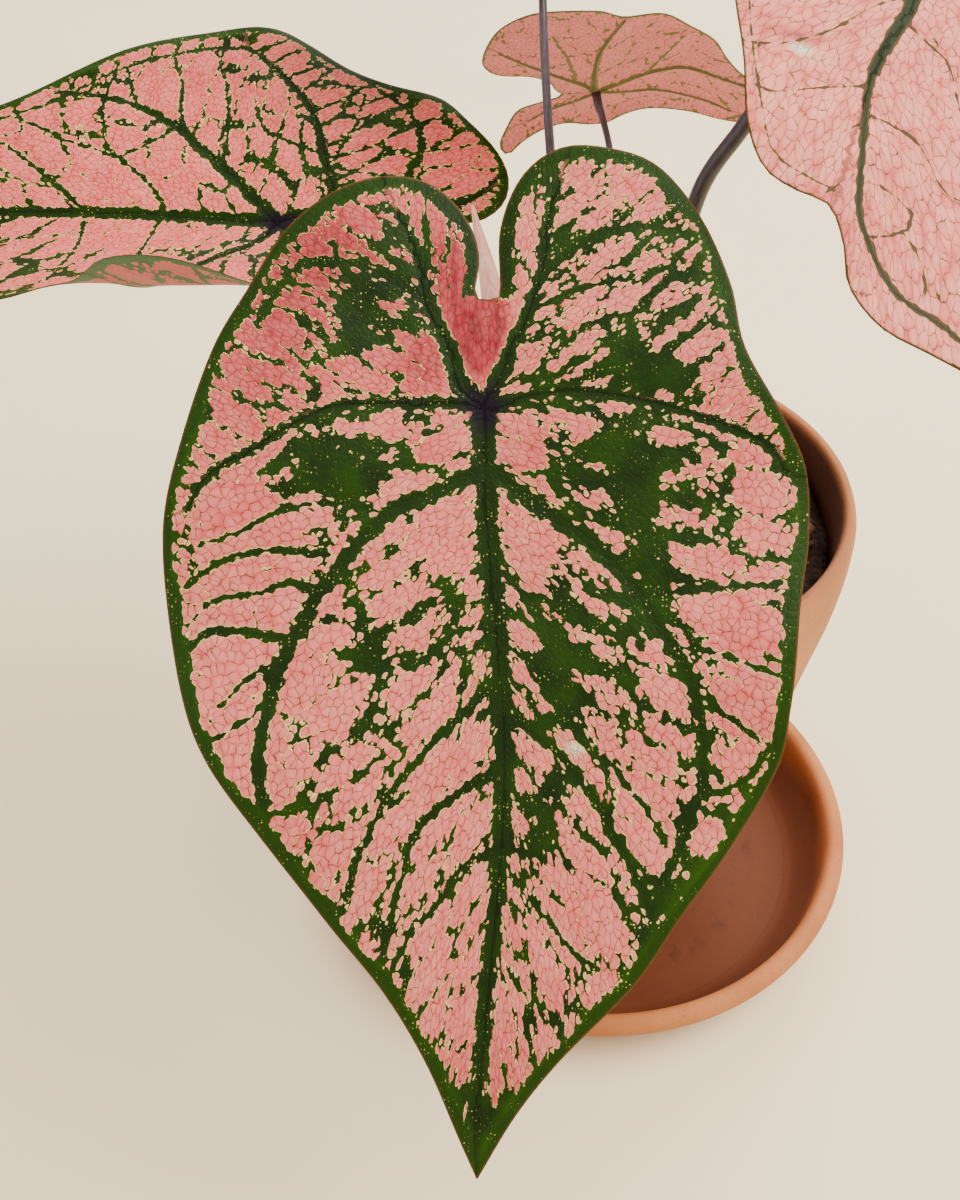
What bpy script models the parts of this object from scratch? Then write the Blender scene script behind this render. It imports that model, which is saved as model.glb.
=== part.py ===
"""A potted caladium: five heart-shaped leaves and a rolled new one in a clay pot on a saucer.

The sizes below are in millimetres and become metres in the scene. +Z is up, and the origin is
the middle of the saucer's underside. The plant's front is -Y.

Each leaf blade is drawn flat first, in its own two directions: u runs across the blade and v
runs along its midrib, from the point where the stalk joins (0, 0) to the tip. A height over
that flat sheet then arches, folds and waves it.
"""

import math
from dataclasses import dataclass

import bmesh
import bpy
import numpy as np
from mathutils import Matrix, Vector, geometry, noise

MM = 0.001
GAP = 0.3
STALK_END_GAP = 0.45
STALK_END_RUN = 5.0

SAUCER_RIM_RADIUS = 97.0
SAUCER_BASE_RADIUS = 84.0
SAUCER_HEIGHT = 28.0
SAUCER_FLOOR = 6.0
SAUCER_WALL = 7.0

POT_RIM_RADIUS = 75.0
POT_FOOT_RADIUS = 43.0
POT_FOOT_ROUNDING = 1.2
POT_TOP = 187.0
POT_WALL = 5.0
POT_FLOOR = 7.0
POT_CORNER_RISE = 2.0
POT_CORNER_RUN = 3.0
POT_LIP = 6.0
POT_INSIDE_ROWS = 7
DRAIN_RADIUS = 6.0
# The outer wall, as shares of the rim's radius and of the way down to the foot.
POT_SHARES = ((0.985, 0.0), (1.0, 0.018), (1.002, 0.045), (0.998, 0.09), (0.975, 0.17),
              (0.925, 0.28), (0.87, 0.41), (0.8, 0.56), (0.715, 0.72), (0.635, 0.87), (0.585, 0.97))
POT_LIP_SHARES = 2

SOIL_TOP = 171.0
SOIL_EDGE_DROP = 2.0
SOIL_ROW_ROOM = 5.0
SOIL_RING = 8.0
SOIL_LUMP = 2.2
SOIL_LUMP_WIDE = 17.0
SOIL_LUMP_NARROW = 8.0

BLADE_THICKNESS = 0.8
BLADE_GRID = 9.0
FOLD_SOFTNESS = 8.0
WAVE_REACH = 60.0
WAVE_STARTS = (0.6, 2.7)
GRID_TO_EDGE = 0.42
GRID_TO_MIDRIB = 0.5
OUTLINE_STEPS = 2
MIDRIB_STEPS = 3
STALK_STEPS = 3
ROUND_STEPS = 40

FILL_INSIDE = 1
FILL_MERGE = 0.01
WELD = 0.001


@dataclass(frozen=True)
class Blade:
    """A leaf blade: its flat outline, the height over it, and where the stalk joins it.

    left is the outline on the side where u is over 0, and right is the other side, each from the
    notch round a lobe to the tip. Pairs give a value for each of these sides.
    """

    name: str
    joint: tuple
    along: tuple
    facing: tuple
    left: tuple
    right: tuple
    tip: tuple
    midrib: tuple
    arch: float = 0.001
    lobe_arch: float = 0.003
    fold: tuple = (0.1, 0.1)
    droop: tuple = (0.0015, 0.0015)
    curl: tuple = (0.0, 0.0, 0.0, 1.0)
    wave: float = 1.2
    wave_length: float = 70.0
    grid: float = BLADE_GRID


@dataclass(frozen=True)
class Stalk:
    """A leaf stalk: the points that it runs through, from inside the soil up to its blade."""

    name: str
    route: tuple
    thick: float
    thin: float


FRONT = Blade(
    name="front_leaf_blade",
    joint=(-43, -84, 277),
    along=(0, -0.66, -0.751),
    facing=(0, -0.751, 0.66),
    left=((2, -27), (1, -36), (4, -45), (12, -53), (23, -55), (35, -51), (46, -42), (55, -28),
          (63, -14), (70, 8), (74.5, 27), (74.5, 46), (71, 67), (65, 83), (53, 101), (37, 123),
          (24, 140), (14, 158), (6, 178)),
    right=((-4, -27), (-4, -42), (-9, -55), (-18, -62), (-29, -62), (-41, -57.5), (-51, -45),
           (-57.5, -29), (-60.5, -14), (-69, 1), (-75.5, 14), (-76.5, 30), (-74, 47), (-72, 70),
           (-69.5, 85), (-59, 104), (-47, 121), (-36, 138), (-19, 157), (-8, 172)),
    tip=(1.5, 189),
    midrib=((0, 0), (-1, 25), (-4, 60), (-5, 80), (-3.5, 110), (0, 150), (1.5, 189)),
    arch=0.0008,
    fold=(0.14, 0.14),
    droop=(0.0022, 0.0022),
    wave=1.6,
    wave_length=75,
)

LEFT = Blade(
    name="left_leaf_blade",
    joint=(-102, 19, 269),
    along=(-0.995, 0.1, -0.02),
    facing=(-0.047, -0.271, 0.962),
    left=((-3, -22), (-6, -30), (-16, -37), (-29, -38), (-43, -31), (-54, -19), (-63, -9),
          (-71, 0), (-74.5, 10), (-73, 20), (-66, 29), (-57.5, 39), (-55, 50), (-53, 61),
          (-49, 78), (-42, 98), (-32, 122), (-20, 146), (-8, 167)),
    right=((3, -22), (6, -40), (7, -55), (15, -63), (26, -64.5), (37, -60), (48, -50), (56, -41),
           (61, -25), (67, -11), (75, 1), (83, 14), (86, 27), (84, 43), (77, 58), (67, 74),
           (56, 93), (46, 113), (33, 136), (18, 159)),
    tip=(2, 180),
    midrib=((0, 0), (1.5, 20), (3.5, 55), (4.5, 90), (3.5, 130), (2, 180)),
    arch=0.0012,
    fold=(0.06, 0.5),
    droop=(0.0012, 0.0),
    curl=(0.032, 31, 15, 42),
    wave=0.8,
    wave_length=60,
)

RIGHT = Blade(
    name="right_leaf_blade",
    joint=(70, 32, 357),
    along=(-0.1, -0.934, -0.342),
    facing=(0.18, -0.355, 0.918),
    left=((4, -22), (6, -32), (12, -41), (22, -45), (33, -42), (43, -32), (50, -16), (52, 4),
          (51, 26), (49, 50), (46, 70), (44, 88), (39, 99), (31, 103), (23, 105), (19, 114),
          (17, 124), (9, 132), (-3, 136), (-17, 141), (-33, 148)),
    right=((-3, -22), (-6, -34), (-14, -44), (-26, -46), (-38, -39), (-48, -26), (-55, -8),
           (-60, 13), (-65, 36), (-69, 60), (-72, 84), (-71, 108), (-67, 128), (-61, 144)),
    tip=(-53, 158),
    midrib=((0, 0), (2.5, 25), (6.5, 45), (12.5, 63), (15, 75), (16, 92), (15.5, 106),
            (11, 117), (4, 124), (-7, 130), (-28, 142), (-53, 158)),
    arch=0.0016,
    fold=(0.06, 0.06),
    wave_length=70,
)

BACK = Blade(
    name="back_leaf_blade",
    joint=(-5, 112, 267),
    along=(0.98, 0.173, 0.102),
    facing=(-0.197, 0.722, 0.663),
    left=((5, -14), (12, -17), (17, -24), (19, -34), (26, -39), (38, -38), (49, -34), (57, -26),
          (58, -17), (54, -5), (47, 4), (47, 16), (40, 25), (32, 34), (21, 40), (11, 48),
          (3, 62)),
    right=((0, -13), (-3, -20), (-7, -26), (-17, -29.5), (-26, -32), (-30, -29), (-25, -24),
           (-20, -17), (-18, -9), (-20.5, -1), (-21, 6), (-17.5, 12), (-15, 20), (-16, 33),
           (-18.5, 47), (-15, 63)),
    tip=(-4, 80),
    midrib=((0, 0), (5, 9), (11, 22), (10, 36), (4, 54), (-4, 80)),
    arch=0.008,
    lobe_arch=-0.004,
    fold=(0.08, 0.08),
    droop=(0.0012, 0.018),
    wave=0.6,
    wave_length=50,
    grid=7.0,
)

TOP = Blade(
    name="top_leaf_blade",
    joint=(-26, 64, 335),
    along=(-0.45, 0.86, 0.1),
    facing=(0.0, -0.2, 0.97),
    left=((1.5, -9), (3, -15), (9, -20), (18, -19), (27, -12), (34, 0), (38, 14), (39, 30),
          (36, 48), (29, 66), (20, 82), (10, 97)),
    right=((-1.5, -9), (-3, -16), (-10, -21), (-20, -19), (-29, -10), (-35, 3), (-39, 19),
           (-38, 36), (-33, 54), (-25, 72), (-15, 88), (-6, 101)),
    tip=(3, 112),
    midrib=((0, 0), (-1, 25), (-1, 55), (1, 85), (3, 112)),
    arch=0.003,
    fold=(0.28, 0.28),
    droop=(0.002, 0.002),
    wave=1.0,
    wave_length=46,
    grid=8.0,
)

BLADES = (FRONT, LEFT, RIGHT, BACK, TOP)

STALKS = (
    Stalk("front_leaf_stalk", ((-12, -14, 139), (-13, -17, 171), (-18, -30, 210), (-29, -52, 243),
                               (-39, -71, 264)), 3.2, 2.1),
    Stalk("left_leaf_stalk", ((-23, 4, 139), (-25, 5, 171), (-40, 9, 208), (-65, 13, 238),
                              (-92, 19, 256)), 3.1, 2.0),
    Stalk("right_leaf_stalk", ((13, 2, 139), (13, 3, 171), (12, 6, 215), (16, 12, 275),
                               (29, 17, 300), (50, 27, 327), (66, 35, 345)), 2.6, 2.2),
    Stalk("back_leaf_stalk", ((5, 17, 139), (5, 20, 171), (5, 36, 205), (3, 64, 234),
                              (0, 94, 252), (-2.5, 105, 260)), 2.0, 1.0),
    Stalk("top_leaf_stalk", ((-8, 17, 139), (-9, 19, 171), (-14, 24, 215), (-20, 29, 255),
                             (-23.5, 34, 285), (-25.5, 47, 309), (-26, 60, 324)), 1.9, 1.1),
)

SPIKE_ROUTE = ((-28, -14, 139), (-30, -12, 171), (-34, -6, 215), (-39, 3, 248), (-46, 20, 274))
SPIKE_RADII = (2.6, 3.0, 4.4, 4.6, 0.9)

COLOURS = {
    "saucer_clay": (0.49, 0.21, 0.11, 1.0),
    "pot_clay": (0.52, 0.235, 0.125, 1.0),
    "soil": (0.035, 0.022, 0.015, 1.0),
    "leaf": (0.52, 0.19, 0.19, 1.0),
    "stalk": (0.035, 0.03, 0.035, 1.0),
    "new_leaf": (0.66, 0.36, 0.34, 1.0),
}
ROUGHNESS = {
    "saucer_clay": 0.72,
    "pot_clay": 0.72,
    "soil": 0.95,
    "leaf": 0.5,
    "stalk": 0.45,
    "new_leaf": 0.5,
}


def clear_scene():
    for item in list(bpy.data.objects):
        bpy.data.objects.remove(item)


def new_collection(name):
    found = bpy.data.collections.new(name)
    bpy.context.scene.collection.children.link(found)
    return found


def material(name):
    """The named Principled material, made once."""
    if name in bpy.data.materials:
        return bpy.data.materials[name]
    made = bpy.data.materials.new(name)
    made.use_nodes = True
    shader = made.node_tree.nodes["Principled BSDF"]
    shader.inputs["Base Color"].default_value = COLOURS[name]
    shader.inputs["Roughness"].default_value = ROUGHNESS[name]
    shader.inputs["Metallic"].default_value = 0.0
    made.diffuse_color = COLOURS[name]
    return made


def add_object(name, data, collection, paint=None, parent=None):
    made = bpy.data.objects.new(name, data)
    collection.objects.link(made)
    made.parent = parent
    if paint:
        data.materials.append(material(paint))
    return made


def smooth_path(points, steps):
    """A Catmull-Rom curve through the points, with this many steps from each to the next."""
    ends = [np.array(p, float) for p in points]
    padded = [2 * ends[0] - ends[1], *ends, 2 * ends[-1] - ends[-2]]
    path = [ends[0]]
    for a, b, c, d in zip(padded, padded[1:], padded[2:], padded[3:]):
        for t in np.arange(1, steps + 1) / steps:
            path.append(
                0.5 * (2 * b + (c - a) * t + (2 * a - 5 * b + 4 * c - d) * t**2
                       + (3 * b - a - 3 * c + d) * t**3)
            )
    return path


def turned(name, profile, collection, paint, parent=None):
    """A closed profile of (radius, height) turned round Z. It runs down its outer side first."""
    mesh = bpy.data.meshes.new(name)
    points = [(r * MM, 0.0, z * MM) for r, z in profile]
    count = len(points)
    mesh.from_pydata(points, [(i, (i + 1) % count) for i in range(count)], [])
    made = add_object(name, mesh, collection, paint, parent)
    screw = made.modifiers.new("turn", "SCREW")
    screw.steps = screw.render_steps = ROUND_STEPS
    screw.use_merge_vertices = True
    screw.merge_threshold = WELD * MM
    screw.use_smooth_shade = True
    return made


def saucer_profile():
    """The saucer's section, as (radius, height): its inside, rounded rim, outside and base."""
    rim, base, wall = SAUCER_RIM_RADIUS, SAUCER_BASE_RADIUS, SAUCER_WALL
    top, floor = SAUCER_HEIGHT, SAUCER_FLOOR
    dish = [(0, floor), (base - 8, floor), (base - 3, floor + 3), (rim - wall, top - 3)]
    inner_lip = [(rim - wall + 1.5, top - 0.6), (rim - wall / 2, top)]
    outer_lip = [(rim - 1.2, top - 1), (rim, top - 3.5), (rim - 0.8, top - 7)]
    underside = [(base + 2, 4), (base - 1, 0.8), (base - 4, 0), (0, 0)]
    return dish + inner_lip + outer_lip + underside


def foot_height():
    return SAUCER_FLOOR + GAP


def pot_outside():
    """The pot's outer wall, from its rim to its foot: nearly upright above, rounded in below."""
    span = POT_TOP - foot_height()
    wall = [(POT_RIM_RADIUS * share, POT_TOP - span * down) for share, down in POT_SHARES]
    return wall + [(POT_FOOT_RADIUS - POT_FOOT_ROUNDING, foot_height())]


def inner_radius(height):
    """The radius of the pot's inside at a height."""
    outside = sorted((z, r) for r, z in pot_outside()[POT_LIP_SHARES:])
    return float(np.interp(height, *zip(*outside))) - POT_WALL


def pot_inside():
    """The pot's inner wall as (radius, height), from its floor up to its lip."""
    bottom = foot_height() + POT_FLOOR + POT_CORNER_RISE
    return [(inner_radius(z), z) for z in np.linspace(bottom, POT_TOP - POT_LIP, POT_INSIDE_ROWS)]


def pot_profile():
    """The pot's section: its outside, the drain hole, the inside and a rounded lip."""
    floor = foot_height() + POT_FLOOR
    inside = pot_inside()
    drain = [(DRAIN_RADIUS, foot_height()), (DRAIN_RADIUS, floor)]
    corner = [(inside[0][0] - POT_CORNER_RUN, floor)]
    lip = [(inside[-1][0] + 0.6, POT_TOP - 2), (POT_RIM_RADIUS - 3, POT_TOP)]
    return pot_outside() + drain + corner + inside + lip


def soil_profile():
    """The soil: a flat crown, and a wall that follows the pot's inside with a small gap."""
    floor = foot_height() + POT_FLOOR + GAP
    radii, heights = zip(*pot_inside())
    edge = SOIL_TOP - SOIL_EDGE_DROP
    wall = [(r - GAP, z) for r, z in pot_inside() if z < edge - SOIL_ROW_ROOM]
    wall.append((float(np.interp(edge, heights, radii)) - GAP, edge))
    crown = [(r, SOIL_TOP) for r in np.arange(0.0, wall[-1][0] - SOIL_RING / 2, SOIL_RING)]
    return crown + wall[::-1] + [(radii[0] - POT_CORNER_RUN - GAP, floor), (0, floor)]


def as_mesh(source, collection):
    """A mesh object made from what the modifiers or the curve of the source give."""
    bpy.context.view_layer.update()
    evaluated = source.evaluated_get(bpy.context.evaluated_depsgraph_get())
    mesh = bpy.data.meshes.new_from_object(evaluated)
    made = bpy.data.objects.new(source.name, mesh)
    collection.objects.link(made)
    made.matrix_world = source.matrix_world.copy()
    made.parent = source.parent
    name = source.name
    bpy.data.objects.remove(source)
    made.name = name
    weld = bmesh.new()
    weld.from_mesh(mesh)
    bmesh.ops.remove_doubles(weld, verts=weld.verts, dist=WELD * MM)
    bmesh.ops.recalc_face_normals(weld, faces=weld.faces)
    weld.to_mesh(mesh)
    weld.free()
    return made


def lumpy_soil(collection, parent):
    """The soil that fills the pot, with its top raised into low lumps."""
    soil = as_mesh(turned("soil", soil_profile(), collection, "soil", parent), collection)
    for vertex in soil.data.vertices:
        x, y, z = vertex.co / MM
        if z > SOIL_TOP - SOIL_EDGE_DROP / 2:
            wide = noise.noise(Vector((x, y, 0)) / SOIL_LUMP_WIDE)
            narrow = noise.noise(Vector((x, y, SOIL_LUMP_NARROW)) / SOIL_LUMP_NARROW)
            vertex.co.z += SOIL_LUMP * (wide + narrow / 2) * MM
    return soil


def stalk_curve(name, route, radii, collection, paint=None, parent=None, grow=0.0):
    """A round tube along a smooth path, whose radius goes evenly through the radii given."""
    path = smooth_path(route, STALK_STEPS)
    curve = bpy.data.curves.new(name, "CURVE")
    curve.dimensions = "3D"
    curve.bevel_depth = MM
    curve.bevel_resolution = 2
    curve.use_fill_caps = True
    spline = curve.splines.new("POLY")
    spline.points.add(len(path) - 1)
    base = path[0]
    share = np.linspace(0, 1, len(path))
    sizes = np.interp(share, np.linspace(0, 1, len(radii)), radii) + grow
    for point, place, radius in zip(spline.points, path, sizes):
        point.co = (*((place - base) * MM), 1.0)
        point.radius = radius
    made = add_object(name, curve, collection, paint, parent)
    made.location = Vector(base) * MM
    return made


def stalk_route(stalk, blade):
    """The stalk's route, with a straight end that meets the blade's underside at a small gap."""
    joint, _, _, normal = blade_axes(blade)
    under = BLADE_THICKNESS + STALK_END_GAP
    start = tuple(joint - normal * (under + STALK_END_RUN))
    end = tuple(joint - normal * under)
    return (*stalk.route, start, end)


def blade_axes(blade):
    """The joint, and the directions across, along and out of the blade's upper side."""
    along = Vector(blade.along).normalized()
    facing = Vector(blade.facing)
    normal = (facing - along * facing.dot(along)).normalized()
    return Vector(blade.joint), along.cross(normal), along, normal


def height(blade, u, v):
    """How far the blade's upper side stands over its flat sheet at each (u, v)."""
    first = u > 0
    arch = np.where(v > 0, blade.arch, blade.lobe_arch)
    fold = np.where(first, *blade.fold)
    droop = np.where(first, *blade.droop)
    turn = 2 * math.pi * v / blade.wave_length + np.where(first, *WAVE_STARTS)
    strength, start, middle, reach = blade.curl
    past = np.maximum(0.0, -u - start)
    curl = strength / 2 * past**2 * np.exp(-(((v - middle) / reach) ** 4))
    wave = blade.wave * (u / WAVE_REACH) ** 2 * np.sin(turn)
    trough = fold * (np.hypot(u, FOLD_SOFTNESS) - FOLD_SOFTNESS)
    return trough - arch * v**2 / 2 - droop * u**2 / 2 + wave + curl


def outline(blade):
    """The blade's flat outline as one loop: notch, one side, tip, other side."""
    left = smooth_path((*blade.left, blade.tip), OUTLINE_STEPS)
    right = smooth_path((*blade.right, blade.tip), OUTLINE_STEPS)
    loop = np.array(left + right[-2::-1])
    x, y = loop.T
    area = np.sum(x * np.roll(y, -1) - y * np.roll(x, -1))
    return loop if area > 0 else loop[::-1]


def inside(points, loop, margin):
    """Which points lie inside the loop, and more than the margin away from its edges."""
    kept = []
    following = np.roll(loop, -1, axis=0)
    edge = following - loop
    rise = np.where(edge[:, 1] == 0, 1e-9, edge[:, 1])
    for point in points:
        x, y = point
        spans = (loop[:, 1] > y) != (following[:, 1] > y)
        crossing = loop[:, 0] + (y - loop[:, 1]) * edge[:, 0] / rise
        share = np.clip(((point - loop) * edge).sum(1) / (edge**2).sum(1), 0, 1)
        away = np.linalg.norm(loop + edge * share[:, None] - point, axis=1).min()
        kept.append((spans & (x < crossing)).sum() % 2 == 1 and away > margin)
    return np.array(kept)


def flat_points(blade, loop, rib):
    """The points of a three-way grid inside the outline, clear of it and of the midrib."""
    step = blade.grid
    low, high = loop.min(axis=0), loop.max(axis=0)
    grid = []
    for row, v in enumerate(np.arange(low[1], high[1], step * math.sqrt(3) / 2)):
        for u in np.arange(low[0] + step / 2 * (row % 2), high[0], step):
            grid.append((u, v))
    grid = np.array(grid)
    grid = grid[inside(grid, loop, step * GRID_TO_EDGE)]
    away = np.linalg.norm(grid[:, None] - rib[None], axis=2).min(axis=1)
    return grid[away > step * GRID_TO_MIDRIB]


def blade_object(blade, collection, parent):
    """The blade: its outline filled with triangles, raised by its height, and made thick."""
    loop = outline(blade)
    rib = np.array(smooth_path(blade.midrib, MIDRIB_STEPS))[:-1]
    points = np.vstack([loop, rib, flat_points(blade, loop, rib)])
    border = [list(range(len(loop)))]
    spine = [(len(loop) + i, len(loop) + i + 1) for i in range(len(rib) - 1)]
    flat, _, faces, *_ = geometry.delaunay_2d_cdt(
        [Vector(p) for p in points], spine, border, FILL_INSIDE, FILL_MERGE
    )
    u, v = np.array([tuple(p) for p in flat]).T
    mesh = bpy.data.meshes.new(blade.name)
    sheet = np.column_stack([u, v, height(blade, u, v)]) * MM
    mesh.from_pydata([tuple(p) for p in sheet], [], faces)
    mesh.shade_smooth()
    made = add_object(blade.name, mesh, collection, "leaf", parent)
    joint, across, along, normal = blade_axes(blade)
    turn = Matrix((across, along, normal)).transposed().to_4x4()
    made.matrix_local = Matrix.Translation(joint * MM) @ turn
    solid = made.modifiers.new("thickness", "SOLIDIFY")
    solid.thickness = BLADE_THICKNESS * MM
    solid.offset = -1
    return made


def cut(target, cutter):
    cutter.hide_render = True
    cutter.display_type = "WIRE"
    boolean = target.modifiers.new(cutter.name, "BOOLEAN")
    boolean.operation = "DIFFERENCE"
    boolean.object = cutter


def plant_stalk(name, route, radii, paint, parts, cutters, soil, parent):
    """A stalk, and the plain hole that it stands in, a little wider and deeper than itself."""
    stalk_curve(name, route, radii, parts, paint, parent)
    first, second = Vector(route[0]), Vector(route[1])
    deeper = first - (second - first).normalized() * GAP
    hole = stalk_curve(name + "_hole", (tuple(deeper), *route[1:]), radii, cutters, grow=GAP)
    cut(soil, as_mesh(hole, cutters))


def build():
    clear_scene()
    parts = new_collection("caladium")
    cutters = new_collection("cutters")
    plant = add_object("caladium_root", None, parts)
    turned("saucer", saucer_profile(), parts, "saucer_clay", plant)
    turned("pot", pot_profile(), parts, "pot_clay", plant)
    soil = lumpy_soil(parts, plant)
    for blade, stalk in zip(BLADES, STALKS):
        blade_object(blade, parts, plant)
        route = stalk_route(stalk, blade)
        radii = (stalk.thick, stalk.thin)
        plant_stalk(stalk.name, route, radii, "stalk", parts, cutters, soil, plant)
    plant_stalk("new_leaf", SPIKE_ROUTE, SPIKE_RADII, "new_leaf", parts, cutters, soil, plant)


build()
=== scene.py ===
"""The looks of a potted caladium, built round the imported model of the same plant.

The scene is in metres, +Z up, with the plant's front at -Y. Each leaf is drawn flat first, in
millimetres: u runs across the blade and v along its midrib, from the point where the stalk joins
to the tip. A height over that flat drawing arches, folds and waves it.
"""

import logging
import math
from dataclasses import dataclass, field
from enum import Enum

import bpy
import numpy as np
from mathutils import Matrix, Vector, geometry, noise


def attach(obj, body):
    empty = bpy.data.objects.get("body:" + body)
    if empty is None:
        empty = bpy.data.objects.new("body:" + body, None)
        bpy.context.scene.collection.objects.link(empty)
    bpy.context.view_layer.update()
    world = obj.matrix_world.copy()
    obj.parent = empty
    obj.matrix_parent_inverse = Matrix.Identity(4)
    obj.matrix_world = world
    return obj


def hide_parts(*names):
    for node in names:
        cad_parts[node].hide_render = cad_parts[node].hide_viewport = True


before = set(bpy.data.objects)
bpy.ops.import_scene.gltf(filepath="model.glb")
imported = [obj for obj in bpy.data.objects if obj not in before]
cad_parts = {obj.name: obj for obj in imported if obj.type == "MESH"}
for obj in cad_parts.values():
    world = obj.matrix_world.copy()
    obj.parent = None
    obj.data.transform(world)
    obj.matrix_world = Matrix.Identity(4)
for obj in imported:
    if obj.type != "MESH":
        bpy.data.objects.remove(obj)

LOG = logging.getLogger("caladium")
MM = 0.001
ON_AXIS = 1e-6
BODY = "root"

Flat = tuple[float, float]
Pair = tuple[float, float]
Place = tuple[float, float, float]
Colour = tuple[float, float, float]
Socket = bpy.types.NodeSocket | float | tuple


class Slot(Enum):
    """Names for the material slots."""

    LEAF = "leaf"
    STALK = "stalk"
    NEW_LEAF = "new_leaf"
    SOIL = "soil"
    POT_CLAY = "pot_clay"
    SAUCER_CLAY = "saucer_clay"


def smooth_path(points: tuple, steps: int) -> np.ndarray:
    """A Catmull-Rom curve through some points.

    Args:
        points: The points that the curve passes through.
        steps: How many steps it takes from each point to the next.

    Returns:
        The curve's points, one a row.
    """
    ends = [np.array(p, float) for p in points]
    padded = [2 * ends[0] - ends[1], *ends, 2 * ends[-1] - ends[-2]]
    path = [ends[0]]
    for a, b, c, d in zip(padded, padded[1:], padded[2:], padded[3:]):
        for t in np.arange(1, steps + 1) / steps:
            path.append(0.5 * (2 * b + (c - a) * t + (2 * a - 5 * b + 4 * c - d) * t**2
                               + (3 * b - a - 3 * c + d) * t**3))
    return np.array(path)


def spaced(path: np.ndarray, spacing: float) -> np.ndarray:
    """Points evenly spaced along a path, near the spacing given, with both of its ends.

    Args:
        path: The path's points, one a row.
        spacing: About how far apart they are.

    Returns:
        The points, one a row.
    """
    run = np.concatenate([[0.0], np.cumsum(np.linalg.norm(np.diff(path, axis=0), axis=1))])
    count = max(2, int(round(run[-1] / spacing)) + 1)
    at = np.linspace(0, run[-1], count)
    return np.column_stack([np.interp(at, run, axis) for axis in path.T])


def nearest_on_lines(points: np.ndarray, starts: np.ndarray,
                     ends: np.ndarray) -> tuple[np.ndarray, np.ndarray]:
    """How far points lie from line segments.

    Args:
        points: The points, one a row.
        starts: Where each segment starts.
        ends: Where each segment ends.

    Returns:
        The distance from each point to each segment, and how far along the segment, 0 to 1, the
        nearest place is.
    """
    span = ends - starts
    length = np.maximum((span**2).sum(1), 1e-12)
    offset = points[:, None] - starts[None]
    share = np.clip((offset * span[None]).sum(2) / length, 0, 1)
    away = np.linalg.norm(offset - share[..., None] * span[None], axis=2)
    return away, share


def circle(radius: float, steps: int) -> list[Flat]:
    """Points evenly spaced once round the origin."""
    turns = [2 * math.pi * step / steps for step in range(steps)]
    return [(radius * math.cos(turn), radius * math.sin(turn)) for turn in turns]


def swells(flat: np.ndarray, width: float, layer: float) -> np.ndarray:
    """Smooth noise from -1 to 1 at each flat point: how wide its swells are, and which layer of it."""
    return np.array([noise.noise(Vector((u / width, v / width, layer))) for u, v in flat])


def new_object(name: str, data: bpy.types.ID) -> bpy.types.Object:
    """Adds an object to the scene.

    Args:
        name: Its name.
        data: Its mesh, light or camera.

    Returns:
        The object.
    """
    made = bpy.data.objects.new(name, data)
    bpy.context.scene.collection.objects.link(made)
    return made


def mesh_piece(name: str, points: np.ndarray, faces: list, node: str) -> bpy.types.Object:
    """A mesh object that stands for a CAD node and rides on the plant's one body.

    Args:
        name: The piece's name.
        points: Its points, in metres.
        faces: Its faces, as point numbers.
        node: The CAD node that it replaces.

    Returns:
        The new object.
    """
    mesh = bpy.data.meshes.new(name)
    mesh.from_pydata(np.asarray(points).tolist(), [], faces)
    mesh.shade_smooth()
    piece = new_object(name, mesh)
    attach(piece, BODY)
    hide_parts(node)
    return piece


def hold(mesh: bpy.types.Mesh, name: str, values: np.ndarray | list) -> None:
    """Stores a number, or a row of three, for each of a mesh's points, where a finish reads it.

    Args:
        mesh: The mesh.
        name: The name that the finish reads.
        values: The numbers or rows, one for each point.
    """
    values = np.asarray(values, np.float32)
    kind, key = ("FLOAT", "value") if values.ndim == 1 else ("FLOAT_VECTOR", "vector")
    layer = mesh.attributes.new(name, kind, "POINT")
    layer.data.foreach_set(key, values.ravel())


def ring_faces(rings: int, sides: int, first: int = 0) -> list:
    """The quads between rings of points that follow each other, each with the same sides.

    Args:
        rings: How many rings there are.
        sides: How many points a ring has.
        first: The number of the first ring's first point.

    Returns:
        The faces, as point numbers.
    """
    faces = []
    for ring in range(rings - 1):
        for side in range(sides):
            low = first + ring * sides
            after = (side + 1) % sides
            faces.append((low + side, low + after, low + sides + after, low + sides + side))
    return faces


def fan(hub: int, first: int, sides: int, flip: bool = False) -> list:
    """The triangles between one point and a ring of points; flip turns them the other way round.

    Args:
        hub: The number of the one point.
        first: The number of the ring's first point.
        sides: How many points the ring has.
        flip: Whether they face the other way.

    Returns:
        The faces, as point numbers.
    """
    faces = []
    for side in range(sides):
        near, after = first + side, first + (side + 1) % sides
        faces.append((hub, after, near) if flip else (hub, near, after))
    return faces


@dataclass(frozen=True)
class Ripple:
    """A soft random field: its scale over one unit, how fine its detail is, and how far it moves things."""

    scale: float
    detail: float = 2.0
    strength: float = 1.0


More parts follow.
